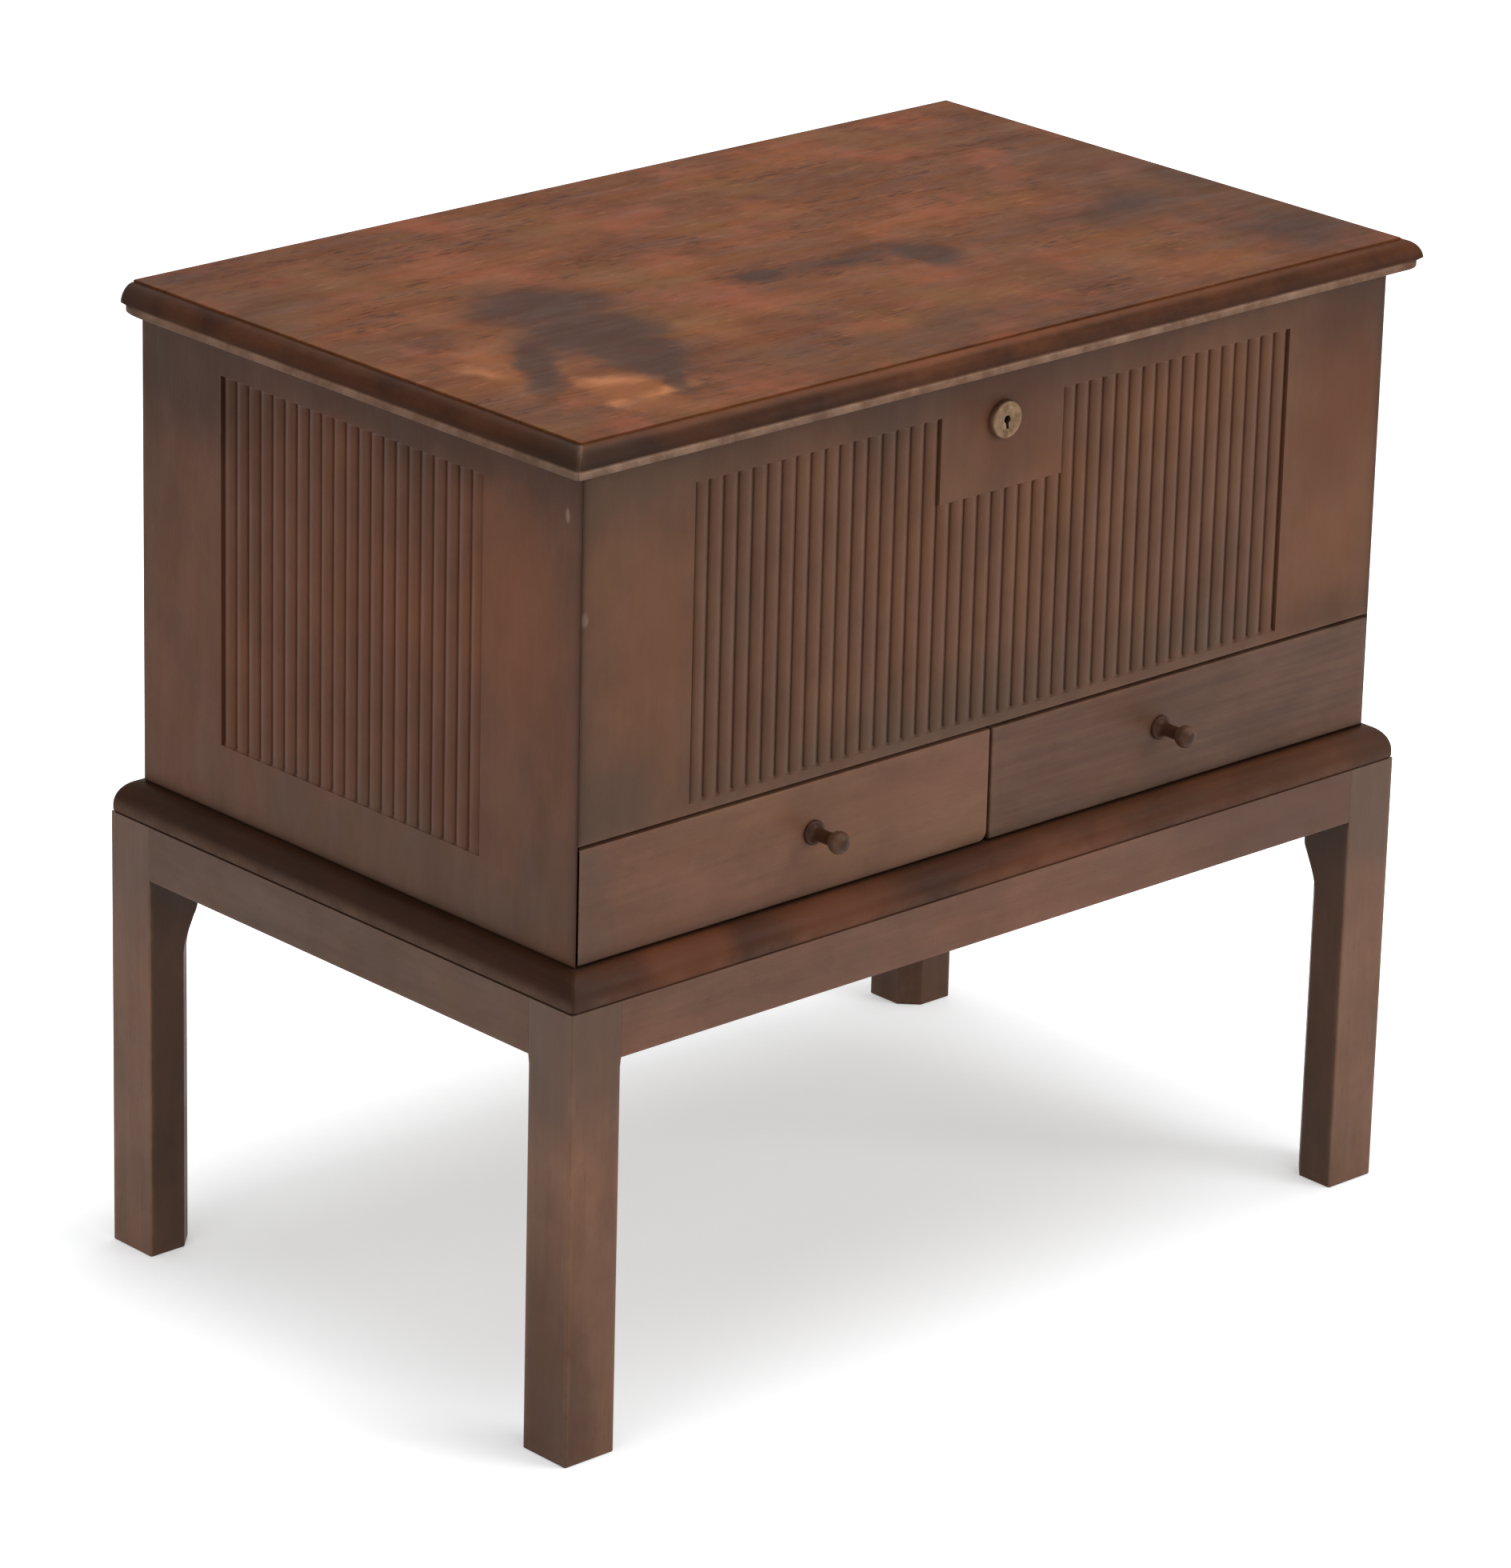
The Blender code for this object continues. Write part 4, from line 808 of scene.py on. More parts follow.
def make_end_board(side):
    """An end: a grid over Y and Z, reeded and softened like the front, with a rebate for the back board."""
    node = f"end_{side}"
    low, high = node_box(node)
    outward, face = ("-X", low[0]) if side == "left" else ("+X", high[0])
    front, back = low[1], high[1]
    rebate = node_box("back_board")[0][1] - FIT
    let_in = housing_spans(["chest_floor", "base_board"])

    rows = [(front + END_REED_MARGIN, END_REEDS, low[2] + END_REED_RISE, high[2] - REED_TOP_MARGIN)]
    across_lines = edged_lines(front, back, board_corner, board_edge)
    walls = [rebate], (*let_in[0], *let_in[1])
    u_lines, u, v, reeds = reeded_grid(low[2], high[2], across_lines, rows, *walls)
    to_corner = u - front - MITRE_GAP
    to_back = back - u
    depth = board_depth(reeds, to_corner, to_back, from_edges(v, low[2], high[2]))

    inner_u = np.broadcast_to(pulled_in(u_lines, board_inset, 0), u.shape)
    inner_depth = np.where(inner_u > rebate, BOARD - BACK_REBATE, BOARD - housings(v, let_in))
    skin = shell(lay(u, v, depth, face, outward), lay(inner_u, v, inner_depth, face, outward))
    # painted shade in the grooves and along the foot, and the dark joint line along the mitred corner
    dirt_and_shade = np.maximum(board_dirt_and_shade(reeds, to_corner), foot_shade(v - low[2]))
    values = face_values(wear_from(to_back, high[2] - v), dirt_and_shade)
    make_piece(node, skin, "end wood", values)


# Drawers


def round_corner(u, v, corner, toward, radius):
    """Pulls a square corner of a grid in to a quarter circle.

    A point keeps its bearing from the circle's centre, and the greater of its offsets becomes its distance.
    """
    first = radius - (u - corner[0]) * toward[0]
    second = radius - (v - corner[1]) * toward[1]
    inside = (first > 0) & (second > 0)
    distance = np.hypot(first, second)
    share = np.where(inside, np.maximum(first, second) / np.where(inside, distance, 1), 1)
    rounded_u = np.where(inside, corner[0] + toward[0] * (radius - first * share), u)
    rounded_v = np.where(inside, corner[1] + toward[1] * (radius - second * share), v)
    return rounded_u, rounded_v


def make_drawer_front(side):
    """A drawer front: a grid over X and Z, softened at its edges, with sockets for the sides behind."""
    drawer = f"drawer_{side}"
    node = f"{drawer}_front"
    low, high = node_box(node)
    face = low[1]
    left, right = low[0], high[0]
    mitre_left = side == "left"
    corner = edge_distances(ARRIS, math.pi / 4)
    sides = [node_box(f"{drawer}_{board}_side") for board in ("inner", "outer")]
    side_low, side_high = sides[0]
    tail_pitch = (side_high[2] - side_low[2]) / TAIL_COUNT
    tails = side_low[2] + tail_pitch * (np.arange(TAIL_COUNT) + 0.5)
    tail_spans = [widened(tail, tail, TAIL_HALF_WIDTH) for tail in tails]
    side_spans = [widened(board_low[0], board_high[0]) for board_low, board_high in sides]
    socket_depth = high[1] - side_low[1] + FIT
    bottom_low, bottom_high = node_box(f"{drawer}_bottom")
    bottom_x, bottom_z = [widened(bottom_low[axis], bottom_high[axis]) for axis in (0, 2)]
    worn_steps = WORN_CORNER * np.linspace(0, 1, WORN_CORNER_STEPS + 1)

    left_edge, right_edge = (corner, board_edge) if mitre_left else (board_edge, corner)
    u_lines = lines(
        edged_lines(left, right, left_edge, right_edge),
        wall_lines(*side_spans[0], *side_spans[1], *bottom_x),
        right - worn_steps if mitre_left else [],
    )
    v_lines = lines(
        edged_lines(low[2], high[2], board_edge, board_edge),
        wall_lines(*bottom_z, *np.ravel(tail_spans)),
        low[2] + worn_steps if mitre_left else [],
    )
    u_lines = u_lines[inside_span(u_lines, (left + left_edge.min() - TINY, right - right_edge.min() + TINY))]
    u, v = np.meshgrid(u_lines, v_lines)
    across = from_edges(u, left, right)
    up = from_edges(v, low[2], high[2])
    depth = arris_drop(across, up, ARRIS)

    inset = BOARD - corner.min()
    inner_lines = pulled_in(u_lines, inset, 0) if mitre_left else pulled_in(u_lines, 0, inset)
    inner_u, inner_v = np.broadcast_to(inner_lines, u.shape), v
    cuts = recess(inner_u, v, bottom_x, bottom_z, DRAWER_GROOVE)
    for u_span in side_spans:
        for v_span in tail_spans:
            cuts = np.maximum(cuts, recess(inner_u, v, u_span, v_span, socket_depth))
    if mitre_left:
        worn = ((right, low[2]), (-1, 1), WORN_CORNER)
        u, v = round_corner(u, v, *worn)
        inner_u, inner_v = round_corner(inner_u, inner_v, *worn)
    skin = shell(lay(u, v, depth, face, "-Y"), lay(inner_u, inner_v, BOARD - cuts, face, "-Y"))
    # painted shade along the drawer front's foot
    values = face_values(wear_from(across, up), foot_shade(v - low[2]))
    make_piece(node, skin, f"{side} drawer wood", values, drawer)


def turned(profile, middle, seat):
    """A profile of radius and reach, turned about an axis that runs from a seat along -Y.

    Gives the skin, and the count of steps round it.
    """
    steps = 64
    angles = np.linspace(0, 2 * math.pi, steps, endpoint=False)
    radius, reach = profile[:, :1], profile[:, 1:]
    x = middle[0] + radius * np.cos(angles)
    y = np.broadcast_to(seat - reach, x.shape)
    z = middle[2] + radius * np.sin(angles)
    points = np.stack((x, y, z), -1)
    return (points.reshape(-1, 3), quad_faces(*x.shape, wrap_columns=True).tolist()), steps


def make_knob(side):
    """A turned knob: a flattened ball, a hollow neck that swells to both ends, and a rounded flange."""
    ball_half, ball_reach = 0.0078, 0.0065  # half its width and half its length
    ball_turn, ball_steps = math.radians(140), 28  # from the tip to the neck
    ball_power = 0.85  # of the sine, which fills out the ball
    neck_half, neck_steps = 0.0045, 18
    flange_half, flange_reach, flange_steps = 0.0085, 0.003, 7
    foot_half = 0.78 * flange_half
    edge_share = 0.45  # of the flange's thickness, at its edge
    worn_share, worn_spread = 0.8, 0.35  # of the ball's half width
    drawer = f"drawer_{side}"
    node = f"{drawer}_knob"
    low, high = node_box(node)
    seat = node_box(f"{drawer}_front")[0][1]
    middle = seat - low[1] - ball_reach

    turn = np.linspace(0, ball_turn, ball_steps)
    ball_radius = ball_half * np.sin(turn) ** ball_power
    ball = np.stack((ball_radius, middle + ball_reach * np.cos(turn)), -1)
    share = np.linspace(0, 1, neck_steps)[1:]
    end_radius = np.where(share < 0.5, ball[-1, 0], foot_half)
    neck_radius = neck_half + (end_radius - neck_half) * (2 * share - 1) ** 4
    neck = np.stack((neck_radius, ball[-1, 1] + (flange_reach - ball[-1, 1]) * share), -1)
    turn = np.linspace(0, math.pi / 2, flange_steps)[1:]
    flange_radius = foot_half + (flange_half - foot_half) * np.sin(turn)
    flange_rise = flange_reach * (edge_share + (1 - edge_share) * np.cos(turn))
    back = ((flange_half, FIT), (0, FIT))
    profile = np.concatenate((ball, neck, np.stack((flange_radius, flange_rise), -1), back))
    worn = np.zeros(len(profile))
    worn[:ball_steps] = np.exp(-(((ball_radius / ball_half - worn_share) / worn_spread) ** 2))
    skin, steps = turned(profile, (low + high) / 2, seat)
    values = {"wear": np.repeat(worn[:, None], steps, 1)}
    make_piece(node, skin, "turned knob wood", values, drawer, "turned")


def make_escutcheon():
    """A brass disc with a keyhole.

    Each ring runs round the disc. Its radius is a share of the way from the keyhole's outline, a circle
    joined to a slot, to the rim, and its height follows a shallow dish with a rounded rim.
    """
    dish_depth = 0.0014
    dish_end = 0.86  # share of the radius where the rim begins
    rim_fall = 0.45  # share of the height
    hole, slot_half, slot_drop = 0.0028, 0.0012, 0.0062
    worn_share, worn_spread = 0.9, 0.12
    steps = 96
    low, high = node_box("escutcheon")
    seat = chest_low[1]
    reach = seat - low[1]
    middle = (low + high) / 2
    outer = (high[0] - low[0]) / 2
    slot_bearing = math.atan2(slot_half, slot_drop)
    beside = np.array((-1.001, -0.999, 0.999, 1.001))  # each side of the slot's lower corners
    around = lines(
        np.linspace(-math.pi / 2, 1.5 * math.pi, steps + 1)[:-1],
        -math.pi / 2 + beside * slot_bearing,
        -math.pi / 2 + slot_bearing * np.linspace(-1, 1, 5),
    )
    aside = np.maximum(np.abs(np.cos(around)), TINY)
    down = -np.sin(around)
    slot = np.minimum(slot_half / aside, slot_drop / np.maximum(down, TINY))
    inner = np.maximum(hole, np.where(down > 0, slot, 0))
    share = np.array((0, 0, 0.03, 0.12, 0.25, 0.4, 0.55, 0.68, 0.78, 0.86, 0.93, 0.975, 1, 1))[:, None]
    radius = inner + (outer - inner) * share
    dish = np.cos(np.clip(radius / outer / dish_end, 0, 1) * math.pi) * 0.5 + 0.5
    rim = np.clip((radius / outer - dish_end) / (1 - dish_end), 0, 1)
    height = reach - dish_depth * dish - rim_fall * reach * (1 - np.sqrt(1 - rim**2))
    height[[0, -1]] = FIT
    x = middle[0] + radius * np.cos(around)
    z = middle[2] + radius * np.sin(around)
    points = np.stack((x, seat - height, z), -1)
    faces = quad_faces(*x.shape, wrap_rows=True, wrap_columns=True).tolist()
    wear = np.exp(-(((share - worn_share) / worn_spread) ** 2))
    values = {"wear": np.broadcast_to(wear, x.shape)}
    skin = (points.reshape(-1, 3), faces)
    make_piece("escutcheon", skin, "rubbed brass", values, ending="turned")


# Mouldings


def quarter_ellipse(start, end):
    """Points of a quarter ellipse, upright where it starts and level where it ends."""
    angles = np.linspace(0, math.pi / 2, ROUND_STEPS + 1)
    across = start[0] + (end[0] - start[0]) * (1 - np.cos(angles))
    up = start[1] + (end[1] - start[1]) * np.sin(angles)
    return np.stack((across, up), -1)


def fillet_foot(radius, rise):
    """Points of a fillet's softened lower corner: a quarter circle that ends upright."""
    turn = np.linspace(0, math.pi / 2, 5)
    return np.stack((radius * (1 - np.sin(turn)), rise + radius * (1 - np.cos(turn))), -1)


def run_moulding(profile, start, end, inward, ends, run):
    """A profile of distance inward and height carried along a straight edge.

    Each end has a kind and a radius for each profile point. A mitred end leans at 45 degrees: each point
    starts as far along as it lies inward, and the faces turn through an eighth of a circle, so that two
    lengths share one rounded corner. A plain end is square across and turns through a quarter of an
    ellipse. Gives the points, and how far each is from the first and from the last end.
    """
    start, end, inward = np.array(start), np.array(end), np.array(inward)
    length = np.linalg.norm(end - start)
    heading = (end - start) / length
    across, up = profile.T
    stations = []
    for kind, corner in ends:
        mitred = kind == "mitre"
        radius = np.maximum(np.minimum(corner, (2 if mitred else 1) * (run - across)), LEAST_ROUND)
        turn = np.linspace(math.pi / 4 if mitred else math.pi / 2, 0, 2 * ARRIS_STEPS)[:, None]
        begin = across + MITRE_GAP if mitred else 0 * across
        reach = radius if mitred else PLAIN_STRETCH * radius
        near = begin + reach * (1 - np.sin(turn))
        beyond = begin + reach + WEAR_LINES[:, None]
        drawn_in = radius * (1 - np.cos(turn))
        stations.append((np.concatenate((near, beyond)), np.concatenate((drawn_in, 0 * beyond))))
    share = np.linspace(0, 1, math.ceil(length / MOULDING_STEP) + 1)[1:-1, None]
    (first, first_shift), (last, last_shift) = stations
    middle = first[-1] * (1 - share) + (length - last[-1]) * share
    along = np.concatenate((first, middle, length - last[::-1]))
    shift = np.concatenate((first_shift, 0 * middle, last_shift[::-1]))
    points = start + along[..., None] * heading + (across + shift)[..., None] * inward
    points = points + np.stack((0 * up, 0 * up, up), -1)
    lean = [across if kind == "mitre" else 0 * across for kind, _ in ends]
    return points, along - lean[0], length - along - lean[1]


def frame_edges(x0, x1, y0, y1, z):
    """Start, end and inward heading of each outer edge of a level frame."""
    return {
        "front": ((x0, y0, z), (x1, y0, z), (0, 1, 0)),
        "back": ((x0, y1, z), (x1, y1, z), (0, -1, 0)),
        "left": ((x0, y0, z), (x0, y1, z), (1, 0, 0)),
        "right": ((x1, y0, z), (x1, y1, z), (-1, 0, 0)),
    }


def mitre_wear(distance):
    """Wear that fades from a mitre's plane."""
    return MITRE_WEAR * np.exp(-np.maximum(distance, 0) / MITRE_WEAR_REACH)


def lid_profile(run, height):
    """The lid's edge: a small fillet with softened corners below, a quirk, and a broad ovolo above.

    Gives the points, the wear, the painted shadow in the quirk, and the count of points up to the fillet's
    head.
    """
    foot = fillet_foot(LID_FILLET_ARRIS, 0.0)
    turn = np.linspace(0, math.pi / 2, 5)
    head_rise = LID_FILLET - LID_FILLET_ARRIS + LID_FILLET_ARRIS * np.sin(turn)
    head = np.stack((LID_FILLET_ARRIS * (1 - np.cos(turn)), head_rise), -1)
    fillet = np.concatenate((((run, 0.0),), foot, head))
    ovolo = quarter_ellipse((LID_FILLET_SETBACK, LID_FILLET), (run, height))[1:]
    rise = np.linspace(0, 1, ROUND_STEPS + 1)[1:]
    wear = np.repeat((0, *LID_FILLET_WEAR, 0), (1, len(foot), len(head), len(ovolo)))
    dirt_and_shade = np.concatenate((np.zeros(len(fillet)), LID_QUIRK_SHADE * (1 - rise) ** 3))
    return np.concatenate((fillet, ovolo)), wear, dirt_and_shade, len(fillet)


def make_lid_mouldings():
    """The moulding round the lid's front and ends, with the fillet rubbed away at three of its corners."""
    low, high = node_box("lid_moulding_front")
    left_low, left_high = node_box("lid_moulding_left")
    run = left_high[0] - left_low[0]
    profile, worn, painted_shade, fillet_count = lid_profile(run, high[2] - low[2])
    is_fillet = np.arange(len(profile)) < fillet_count
    upper = LID_OVOLO_CORNER * (1 - profile[:, 0] / run)
    left_mitre = ("mitre", np.where(is_fillet, LID_LEFT_CORNER, upper))
    right_mitre = ("mitre", np.where(is_fillet, LID_RIGHT_CORNER, upper))
    plain = ("plain", np.where(is_fillet, LID_BACK_CORNER, upper / 2))
    edges = frame_edges(left_low[0], node_box("lid_moulding_right")[1][0], low[1], left_high[1], low[2])
    for side, ends, strength, finish in (
        ("front", (left_mitre, right_mitre), 1.0, "lid moulding wood"),
        ("left", (left_mitre, plain), LID_END_WEAR, "lid end moulding wood"),
        ("right", (right_mitre, plain), LID_END_WEAR, "lid end moulding wood"),
    ):
        points, from_first, from_last = run_moulding(profile, *edges[side], ends, run)
        fading = np.clip(from_last / LID_FADE, 0, 1)
        wear = strength * np.maximum(worn * fading, mitre_wear(from_first))
        # painted shadow in the quirk above the fillet
        values = {"wear": wear, "dirt_and_shade": np.broadcast_to(painted_shade, wear.shape)}
        make_piece(f"lid_moulding_{side}", tube(points), finish, values, "lid")


def rail_profile(width, height):
    """A stand rail: a quirk and a fillet at the foot, a broad ovolo, and a flat top under the chest."""
    top = RAIL_QUIRK + RAIL_FILLET
    foot = fillet_foot(RAIL_FILLET_ARRIS, RAIL_QUIRK)
    ovolo = quarter_ellipse((0.0, top), (RAIL_OVOLO_WIDTH, height))
    outer = ((width, 0.0), (RAIL_QUIRK, 0.0), (RAIL_QUIRK, RAIL_QUIRK))
    flat = ((0.7 * RAIL_OVOLO_WIDTH + 0.3 * width, height), (width, height))
    profile = np.concatenate((outer, foot, ovolo, flat))
    ovolo_wear = np.clip(1 - (ovolo[:, 1] - top) / RAIL_WORN_RISE, 0, 1)
    wear = np.concatenate((np.zeros(len(outer)), np.ones(len(foot)), ovolo_wear, np.zeros(len(flat))))
    return profile, wear


def make_rails():
    """The four moulded rails on top of the stand, mitred into a frame, with painted shade where the chest
    stands.
    """
    low, high = node_box("stand_rail_front")
    back_high = node_box("stand_rail_back")[1]
    edges = frame_edges(stand_low[0], stand_high[0], low[1], back_high[1], low[2])
    width = high[1] - low[1]
    height = high[2] - low[2]
    profile, worn = rail_profile(width, height)
    under_chest = np.clip((profile[:, 0] - RAIL_OVOLO_WIDTH) / FOOT_SHADE_REACH + 1, 0, 1)
    # painted shade on the flat top, where the chest stands
    painted_shade = FOOT_SHADE * np.where(profile[:, 1] > height / 2, under_chest, 0)
    mitre = ("mitre", RAIL_CORNER * (1 - profile[:, 0] / width))
    for side, edge in edges.items():
        points, from_first, from_last = run_moulding(profile, *edge, (mitre, mitre), width)
        wear = RAIL_WEAR * np.maximum(worn, mitre_wear(np.minimum(from_first, from_last)))
        values = {"wear": wear, "dirt_and_shade": np.broadcast_to(painted_shade, wear.shape)}
        finish = "front rail wood" if side in ("front", "back") else "end rail wood"
        make_piece(f"stand_rail_{side}", tube(points), finish, values)


# Lid


def make_lid_panel():
    """The lid's panel: a grid over X and Y, softened above, cut below for the hinges and the link plate."""
    low, high = node_box("lid_panel")
    edge = edge_distances(LID_ARRIS)
    cuts = []
    for side in SIDES:
        leaf_low, leaf_high = node_box(f"hinge_{side}_lid_leaf")
        cuts.append((widened(leaf_low[0], leaf_high[0]), (leaf_low[1] - FIT, np.inf)))
    plate_low, plate_high = node_box("lock_link_plate")
    cuts.append((widened(plate_low[0], plate_high[0]), widened(plate_low[1], plate_high[1])))
    sunk = plate_high[2] + FIT - low[2]
    cut_walls = wall_lines(*np.ravel([x_span for x_span, _ in cuts]))
    u_lines = lines(edged_lines(low[0], high[0], edge, edge), cut_walls)
    v_lines = lines(edged_lines(low[1], high[1], edge, edge), wall_lines(cuts[0][1][0], *cuts[2][1]))
    u, v = np.meshgrid(u_lines, v_lines)
    across = from_edges(u, low[0], high[0])
    up = from_edges(v, low[1], high[1])
    depth = arris_drop(across, up, LID_ARRIS)
    inner_depth = np.full(u.shape, high[2] - low[2])
    for x_span, y_span in cuts:
        inner_depth -= recess(u, v, x_span, y_span, sunk)
    skin = shell(lay(u, v, depth, high[2], "+Z"), lay(u, v, inner_depth, high[2], "+Z"))
    values = face_values(np.zeros(u.shape), LID_SEAM_DARKENING * wear_from(across, up))
    make_piece("lid_panel", skin, "lid wood", values, "lid")


# Stand


def leg_section(taken, straight, side):
    """Points round a square leg at each height, from its inner corner.

    What is taken off each corner is given along both faces, and rounds it to a quarter circle. The straight
    share turns that round into a flat chamfer.
    """
    turn = np.linspace(0, math.pi / 2, CORNER_STEPS + 1)[:, None]
    share = np.linspace(0, 1, CORNER_STEPS + 1)[:, None]
    corners = np.array(((0, 0), (1, 0), (1, 1), (0, 1))) * side
    headings = np.array(((1, 0), (0, 1), (-1, 0), (0, -1)))
    loops = []
    for index, corner in enumerate(corners):
        arriving, leaving = headings[index - 1], headings[index]
        size = taken[index][:, None, None]
        arc = corner - size * (arriving * (1 - np.sin(turn)) - leaving * (1 - np.cos(turn)))
        chord = corner - size * (arriving * (1 - share) - leaving * share)
        flatness = straight[index][:, None, None]
        loops.append(arc * (1 - flatness) + chord * flatness)
        begin = taken[index][:, None] + LEG_PLAIN
        end = side - taken[(index + 1) % 4][:, None] - LEG_PLAIN[::-1]
        loops.append(corner + np.concatenate((begin, end), 1)[..., None] * leaving)
    return np.concatenate(loops, 1)


def make_leg(depth_name, end_name):
    """A square leg whose inner corner has a chamfer that runs out in a slow curve below the apron.

    Where the aprons meet it, its edges are left sharp and unworn.
    """
    node = f"leg_{depth_name}_{end_name}"
    low, high = node_box(node)
    side = high[0] - low[0]
    apron = node_box("apron_front")[0][2]
    run_out = CHAMFER_HEIGHT + CHAMFER_RUN_OUT * np.linspace(0, 1, RUN_OUT_STEPS + 1)
    z = lines(
        low[2] + board_edge[: ARRIS_STEPS + 1],
        even_lines(LEG_FOOT, CHAMFER_HEIGHT, LEG_STEP),
        run_out,
        apron - JOINT_RUN * np.array((1, 0.5, 0)),
        even_lines(run_out[-1], high[2], LEG_STEP),
    )
    passed = np.clip((z - CHAMFER_HEIGHT) / CHAMFER_RUN_OUT, 0, 1)
    chamfer = np.maximum(LEG_CHAMFER * (1 + np.cos(math.pi * passed)) / 2, LEG_ARRIS)
    free = np.clip((apron - z) / JOINT_RUN, 0, 1)
    jointed = np.maximum(LEG_ARRIS * free, LEAST_ROUND)
    nothing = np.zeros(z.shape)
    straight = np.clip((chamfer - LEG_ARRIS) / (2 * LEG_ARRIS), 0, 1)
    taken = (chamfer, jointed, nothing + LEG_ARRIS, jointed)
    section = leg_section(taken, (straight, nothing, nothing, nothing), side)
    inside = (section < TINY).any(-1)
    inside[:, : CORNER_STEPS + 1] = True
    drawn_in = arris_drop(z - low[2], np.inf, ARRIS)[:, None, None]
    section = side / 2 + (section - side / 2) * (1 - drawn_in / (side / 2))
    x = low[0] + section[..., 0] if end_name == "right" else high[0] - section[..., 0]
    y = low[1] + section[..., 1] if depth_name == "back" else high[1] - section[..., 1]
    points = np.stack((x, y, np.broadcast_to(z[:, None], x.shape)), -1)
    worn = []
    for edge in (nothing + STAND_WEAR, free, nothing + 1, free):
        worn += [np.repeat(edge[:, None], CORNER_STEPS + 1, 1), np.zeros((len(z), 2 * len(LEG_PLAIN)))]
    foot_wear = np.exp(-(z - low[2]) / FOOT_WEAR_REACH)[:, None]
    # painted shade on the inner faces, under the chest
    values = {"wear": np.maximum(np.concatenate(worn, 1), foot_wear), "dirt_and_shade": INNER_LEG_SHADE * inside}
    make_piece(node, tube(points), "leg wood", values)


def make_apron(side, outward, finish):
    """An apron between two legs: a grid over its length and height with a softened lower edge."""
    node = f"apron_{side}"
    low, high = node_box(node)
    axis = "XY".index(outward[1])
    along = 1 - axis
    start = node_box("leg_front_left")[1][along] + SEAM
    end = node_box("leg_back_right")[0][along] - SEAM
    face = high[axis] if outward[0] == "+" else low[axis]
    plain = np.zeros(1)
    u_lines = edged_lines(start, end, plain, plain)
    u, v = np.meshgrid(u_lines, edged_lines(low[2], high[2], board_edge, plain))
    depth = arris_drop(np.inf, v - low[2], ARRIS)
    inner_depth = high[axis] - low[axis] - depth
    skin = shell(lay(u, v, depth, face, outward), lay(u, v, inner_depth, face, outward))
    wear = STAND_WEAR * wear_from(v - low[2])
    values = {"wear": np.stack((wear, wear))}
    make_piece(node, skin, finish, values)


# Screws


def make_screws(plate, places, outward, body):
    """Slotted heads: a square grid drawn in to a disc, domed a little and cut by a straight slot."""
    radius, thickness, steps = 0.0021, 0.0008, 12
    stand = 0.00007  # above the plate
    dome = 0.00004
    slot_half, slot_wall = 0.14, 0.03  # shares of the radius
    slot_depth = 0.0006
    slot = (slot_half, slot_half + slot_wall)
    grid = lines(np.linspace(-1, 1, steps + 1), slot, np.negative(slot))
    first, second = np.meshgrid(grid, grid)
    share = np.maximum(np.abs(first), np.abs(second)) / np.maximum(np.hypot(first, second), TINY)
    u, v = first * share * radius, second * share * radius
    depth = np.where(np.abs(second) <= slot_half + TINY, slot_depth, 0.0)
    depth = depth + dome * (np.hypot(u, v) / radius) ** 2
    under = np.full(u.shape, thickness)
    points, faces = shell(lay(u, v, depth - stand, 0.0, outward), lay(u, v, under, 0.0, outward))
    spread = (np.array(places)[:, None] + points).reshape(-1, 3)
    every = (np.arange(len(places))[:, None, None] * len(points) + np.array(faces)).reshape(-1, 4)
    make_piece(plate, (spread, every.tolist()), "filed steel", None, body, "screws")


def make_all_screws():
    """Screws of the hinges, the lock and the link plate."""
    hinge_inset, hinge_pitch = 0.0062, 0.021
    lock_inset = 0.006
    for side in SIDES:
        for leaf, outward, body in (("lid_leaf", "-Z", "lid"), ("back_leaf", "+Z", BODY)):
            plate = f"hinge_{side}_{leaf}"
            low, high = node_box(plate)
            middle = (low[0] + high[0]) / 2
            y = low[1] + hinge_inset
            z = low[2] if outward == "-Z" else chest_high[2]
            places = [(middle + step * hinge_pitch, y, z) for step in (-1, 0, 1)]
            make_screws(plate, places, outward, body)
    low, high = node_box("lock_case")
    heights = (low[2] + lock_inset, high[2] - 2 * lock_inset)
    places = [(x, high[1], z) for x in widened(low[0], high[0], -lock_inset) for z in heights]
    make_screws("lock_case", places, "+Y", BODY)
    low, high = node_box("lock_link_plate")
    y = (low[1] + high[1]) / 2
    z = node_box("lid_panel")[0][2]
    places = [(x, y, z) for x in widened(low[0], high[0], -lock_inset)]
    make_screws("lock_link_plate", places, "-Z", "lid")


# Boards and metal that keep their CAD shape


def finish_node(node, finish):
    """Gives a kept node its material, and softens its edges after its loose triangles are welded."""
    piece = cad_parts[node]
    piece.data.materials.clear()
    piece.data.materials.append(FINISH[finish])
    weld = piece.modifiers.new("Weld", "WELD")
    weld.merge_threshold = LOOSE_GAP
    bevel = piece.modifiers.new("Softened edges", "BEVEL")
    bevel.width = WOOD_SOFTENING if "wood" in finish else METAL_SOFTENING
    bevel.segments = 2
    bevel.limit_method = "ANGLE"
    bevel.angle_limit = SOFTENED_ANGLE
    bevel.harden_normals = False
    closed = piece.modifiers.new("Weld slivers", "WELD")
    closed.merge_threshold = SLIVER_GAP


def finish_kept_nodes():
    """Boards that are hidden while the chest is shut, its back, the hinges and the lock."""
    finish_node("back_board", "back board wood")
    for node in ("chest_floor", "base_board", "drawer_left_back", "drawer_right_back"):
        finish_node(node, "lining wood along X")
    finish_node("drawer_partition", "lining wood along Y")
    for side in SIDES:
        finish_node(f"batten_{side}", "lining wood along Y")
        for board in ("inner_side", "outer_side", "bottom"):
            finish_node(f"drawer_{side}_{board}", "lining wood along Y")
        for plate in ("lid_leaf", "back_leaf", "pin"):
            finish_node(f"hinge_{side}_{plate}", "old brass")
    for node in ("lock_case", "lock_link_plate"):
        finish_node(node, "old brass")
    finish_node("lock_bolt", "filed steel")


# Floor, light and camera


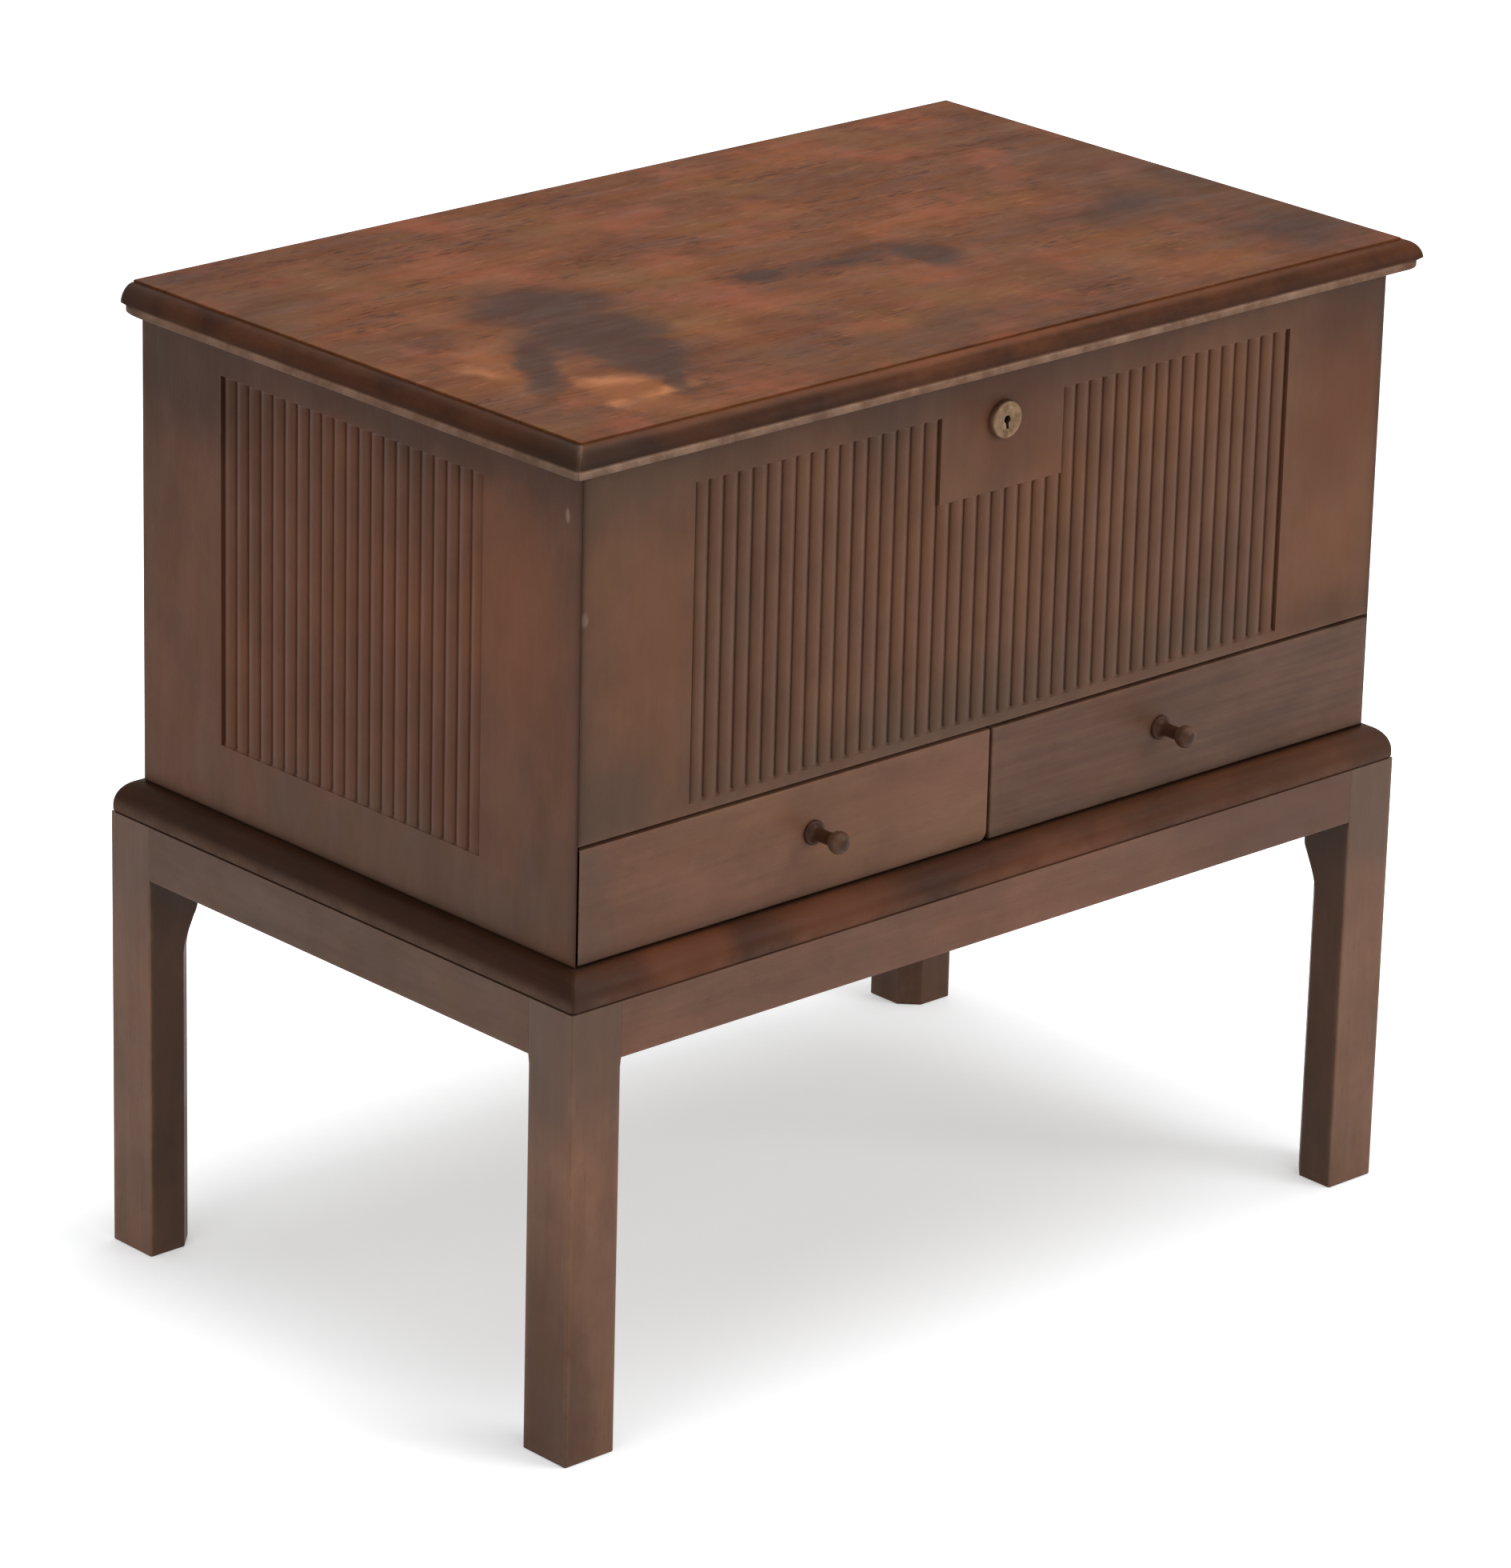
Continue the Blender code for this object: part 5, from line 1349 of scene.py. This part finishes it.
def seen_directly(tree):
    """One for the camera's rays and for reflected and refracted ones, and nothing for light that is shed."""
    path = add_node(tree, "ShaderNodeLightPath").outputs
    mirrored = calculate(tree, "MAXIMUM", path["Is Camera Ray"], path["Is Glossy Ray"])
    return calculate(tree, "MAXIMUM", mirrored, path["Is Transmission Ray"])


def make_floor():
    """A pale floor that keeps the soft shadow, with a painted shadow too: its glow is least under the stand
    and rises to white with the distance from it.
    """
    reach = 9.0
    u, v = np.meshgrid(np.linspace(-reach, reach, 3), np.linspace(-reach, reach, 3))
    points = lay(u, v, np.zeros(u.shape), 0.0, "+Z").reshape(-1, 3)
    mesh = bpy.data.meshes.new("floor")
    mesh.from_pydata(points.tolist(), [], quad_faces(3, 3)[:, ::-1].tolist())
    floor = bpy.data.objects.new("floor", mesh)
    bpy.context.scene.collection.objects.link(floor)
    material, tree, shader = new_material("pale floor")
    shader.inputs["Base Color"].default_value = (0.74, 0.75, 0.76, 1)
    shader.inputs["Roughness"].default_value = 1.0
    shader.inputs["Specular IOR Level"].default_value = 0.0
    half = (stand_high[:2] - stand_low[:2]) / 2
    away = combine(tree, "ABSOLUTE", combine(tree, "SUBTRACT", object_place(tree), (0, STAND_MIDDLE, 0)))
    away = combine(tree, "MAXIMUM", combine(tree, "SUBTRACT", away, (*half, 0)), (0, 0, 0))
    distance = add_node(tree, "ShaderNodeVectorMath", {0: away}, operation="LENGTH").outputs["Value"]
    # painted shadow: the floor's glow is dimmer under and near the stand
    painted_shadow_glow = ramp(tree, distance, ((0.0, 0.33), (0.08, 0.50), (0.35, 1.0)))
    shader.inputs["Emission Color"].default_value = (1, 1, 1, 1)
    tree.links.new(times(tree, painted_shadow_glow, seen_directly(tree)), shader.inputs["Emission Strength"])
    mesh.materials.append(material)


def make_world():
    """White where the camera and reflections see it, and a dimmer even light on the object."""
    world = bpy.data.worlds.new("studio")
    bpy.context.scene.world = world
    world.use_nodes = True
    tree = world.node_tree
    strength = calculate(tree, "ADD", times(tree, seen_directly(tree), 1 - AMBIENT), AMBIENT)
    background = tree.nodes["Background"]
    background.inputs["Color"].default_value = (1, 1, 1, 1)
    tree.links.new(strength, background.inputs["Strength"])


def make_lamps():
    """Three soft square lamps."""
    for name, place, aim, side, watts in (
        ("overhead softbox", (0.25, -0.25, 2.7), (0.0, 0.0, 0.4), 2.2, 52),
        ("front softbox", (1.7, -2.9, 1.9), (0.0, -0.1, 0.4), 1.6, 48),
        ("left fill", (-2.6, -0.6, 0.7), (-0.3, 0.0, 0.25), 1.4, 14),
    ):
        data = bpy.data.lights.new(name, "AREA")
        data.size = side
        data.energy = watts
        lamp = bpy.data.objects.new(name, data)
        bpy.context.scene.collection.objects.link(lamp)
        turn = (Vector(aim) - Vector(place)).to_track_quat("-Z", "Y")
        lamp.matrix_world = Matrix.Translation(place) @ turn.to_matrix().to_4x4()


def make_camera():
    """The photograph's view, fitted to the stand: a long lens, looking down on the near left corner."""
    azimuth = math.radians(-42.9224)
    elevation = math.radians(20.3793)
    roll = math.radians(1.4659)
    distance = 5.0119
    aim = Vector((-0.05176, -0.04902 + STAND_MIDDLE, 0.342))
    data = bpy.data.cameras.new("camera")
    data.sensor_width = 36
    data.lens = 170.0
    camera = bpy.data.objects.new("camera", data)
    bpy.context.scene.collection.objects.link(camera)
    turn = Matrix.Rotation(azimuth, 4, "Z") @ Matrix.Rotation(math.pi / 2 - elevation, 4, "X")
    turn = turn @ Matrix.Rotation(roll, 4, "Z")
    camera.matrix_world = Matrix.Translation(aim + turn @ Vector((0, 0, distance))) @ turn
    bpy.context.scene.camera = camera


make_front_board()
make_lid_panel()
make_lid_mouldings()
make_rails()
make_escutcheon()
make_all_screws()
finish_kept_nodes()
for end_name in SIDES:
    make_end_board(end_name)
    make_drawer_front(end_name)
    make_knob(end_name)
    for depth_name in ("front", "back"):
        make_leg(depth_name, end_name)
make_apron("front", "-Y", "front apron wood")
make_apron("back", "+Y", "front apron wood")
make_apron("left", "-X", "end apron wood")
make_apron("right", "+X", "end apron wood")

make_floor()
make_world()
make_lamps()
make_camera()
bpy.context.scene.view_settings.view_transform = "Standard"
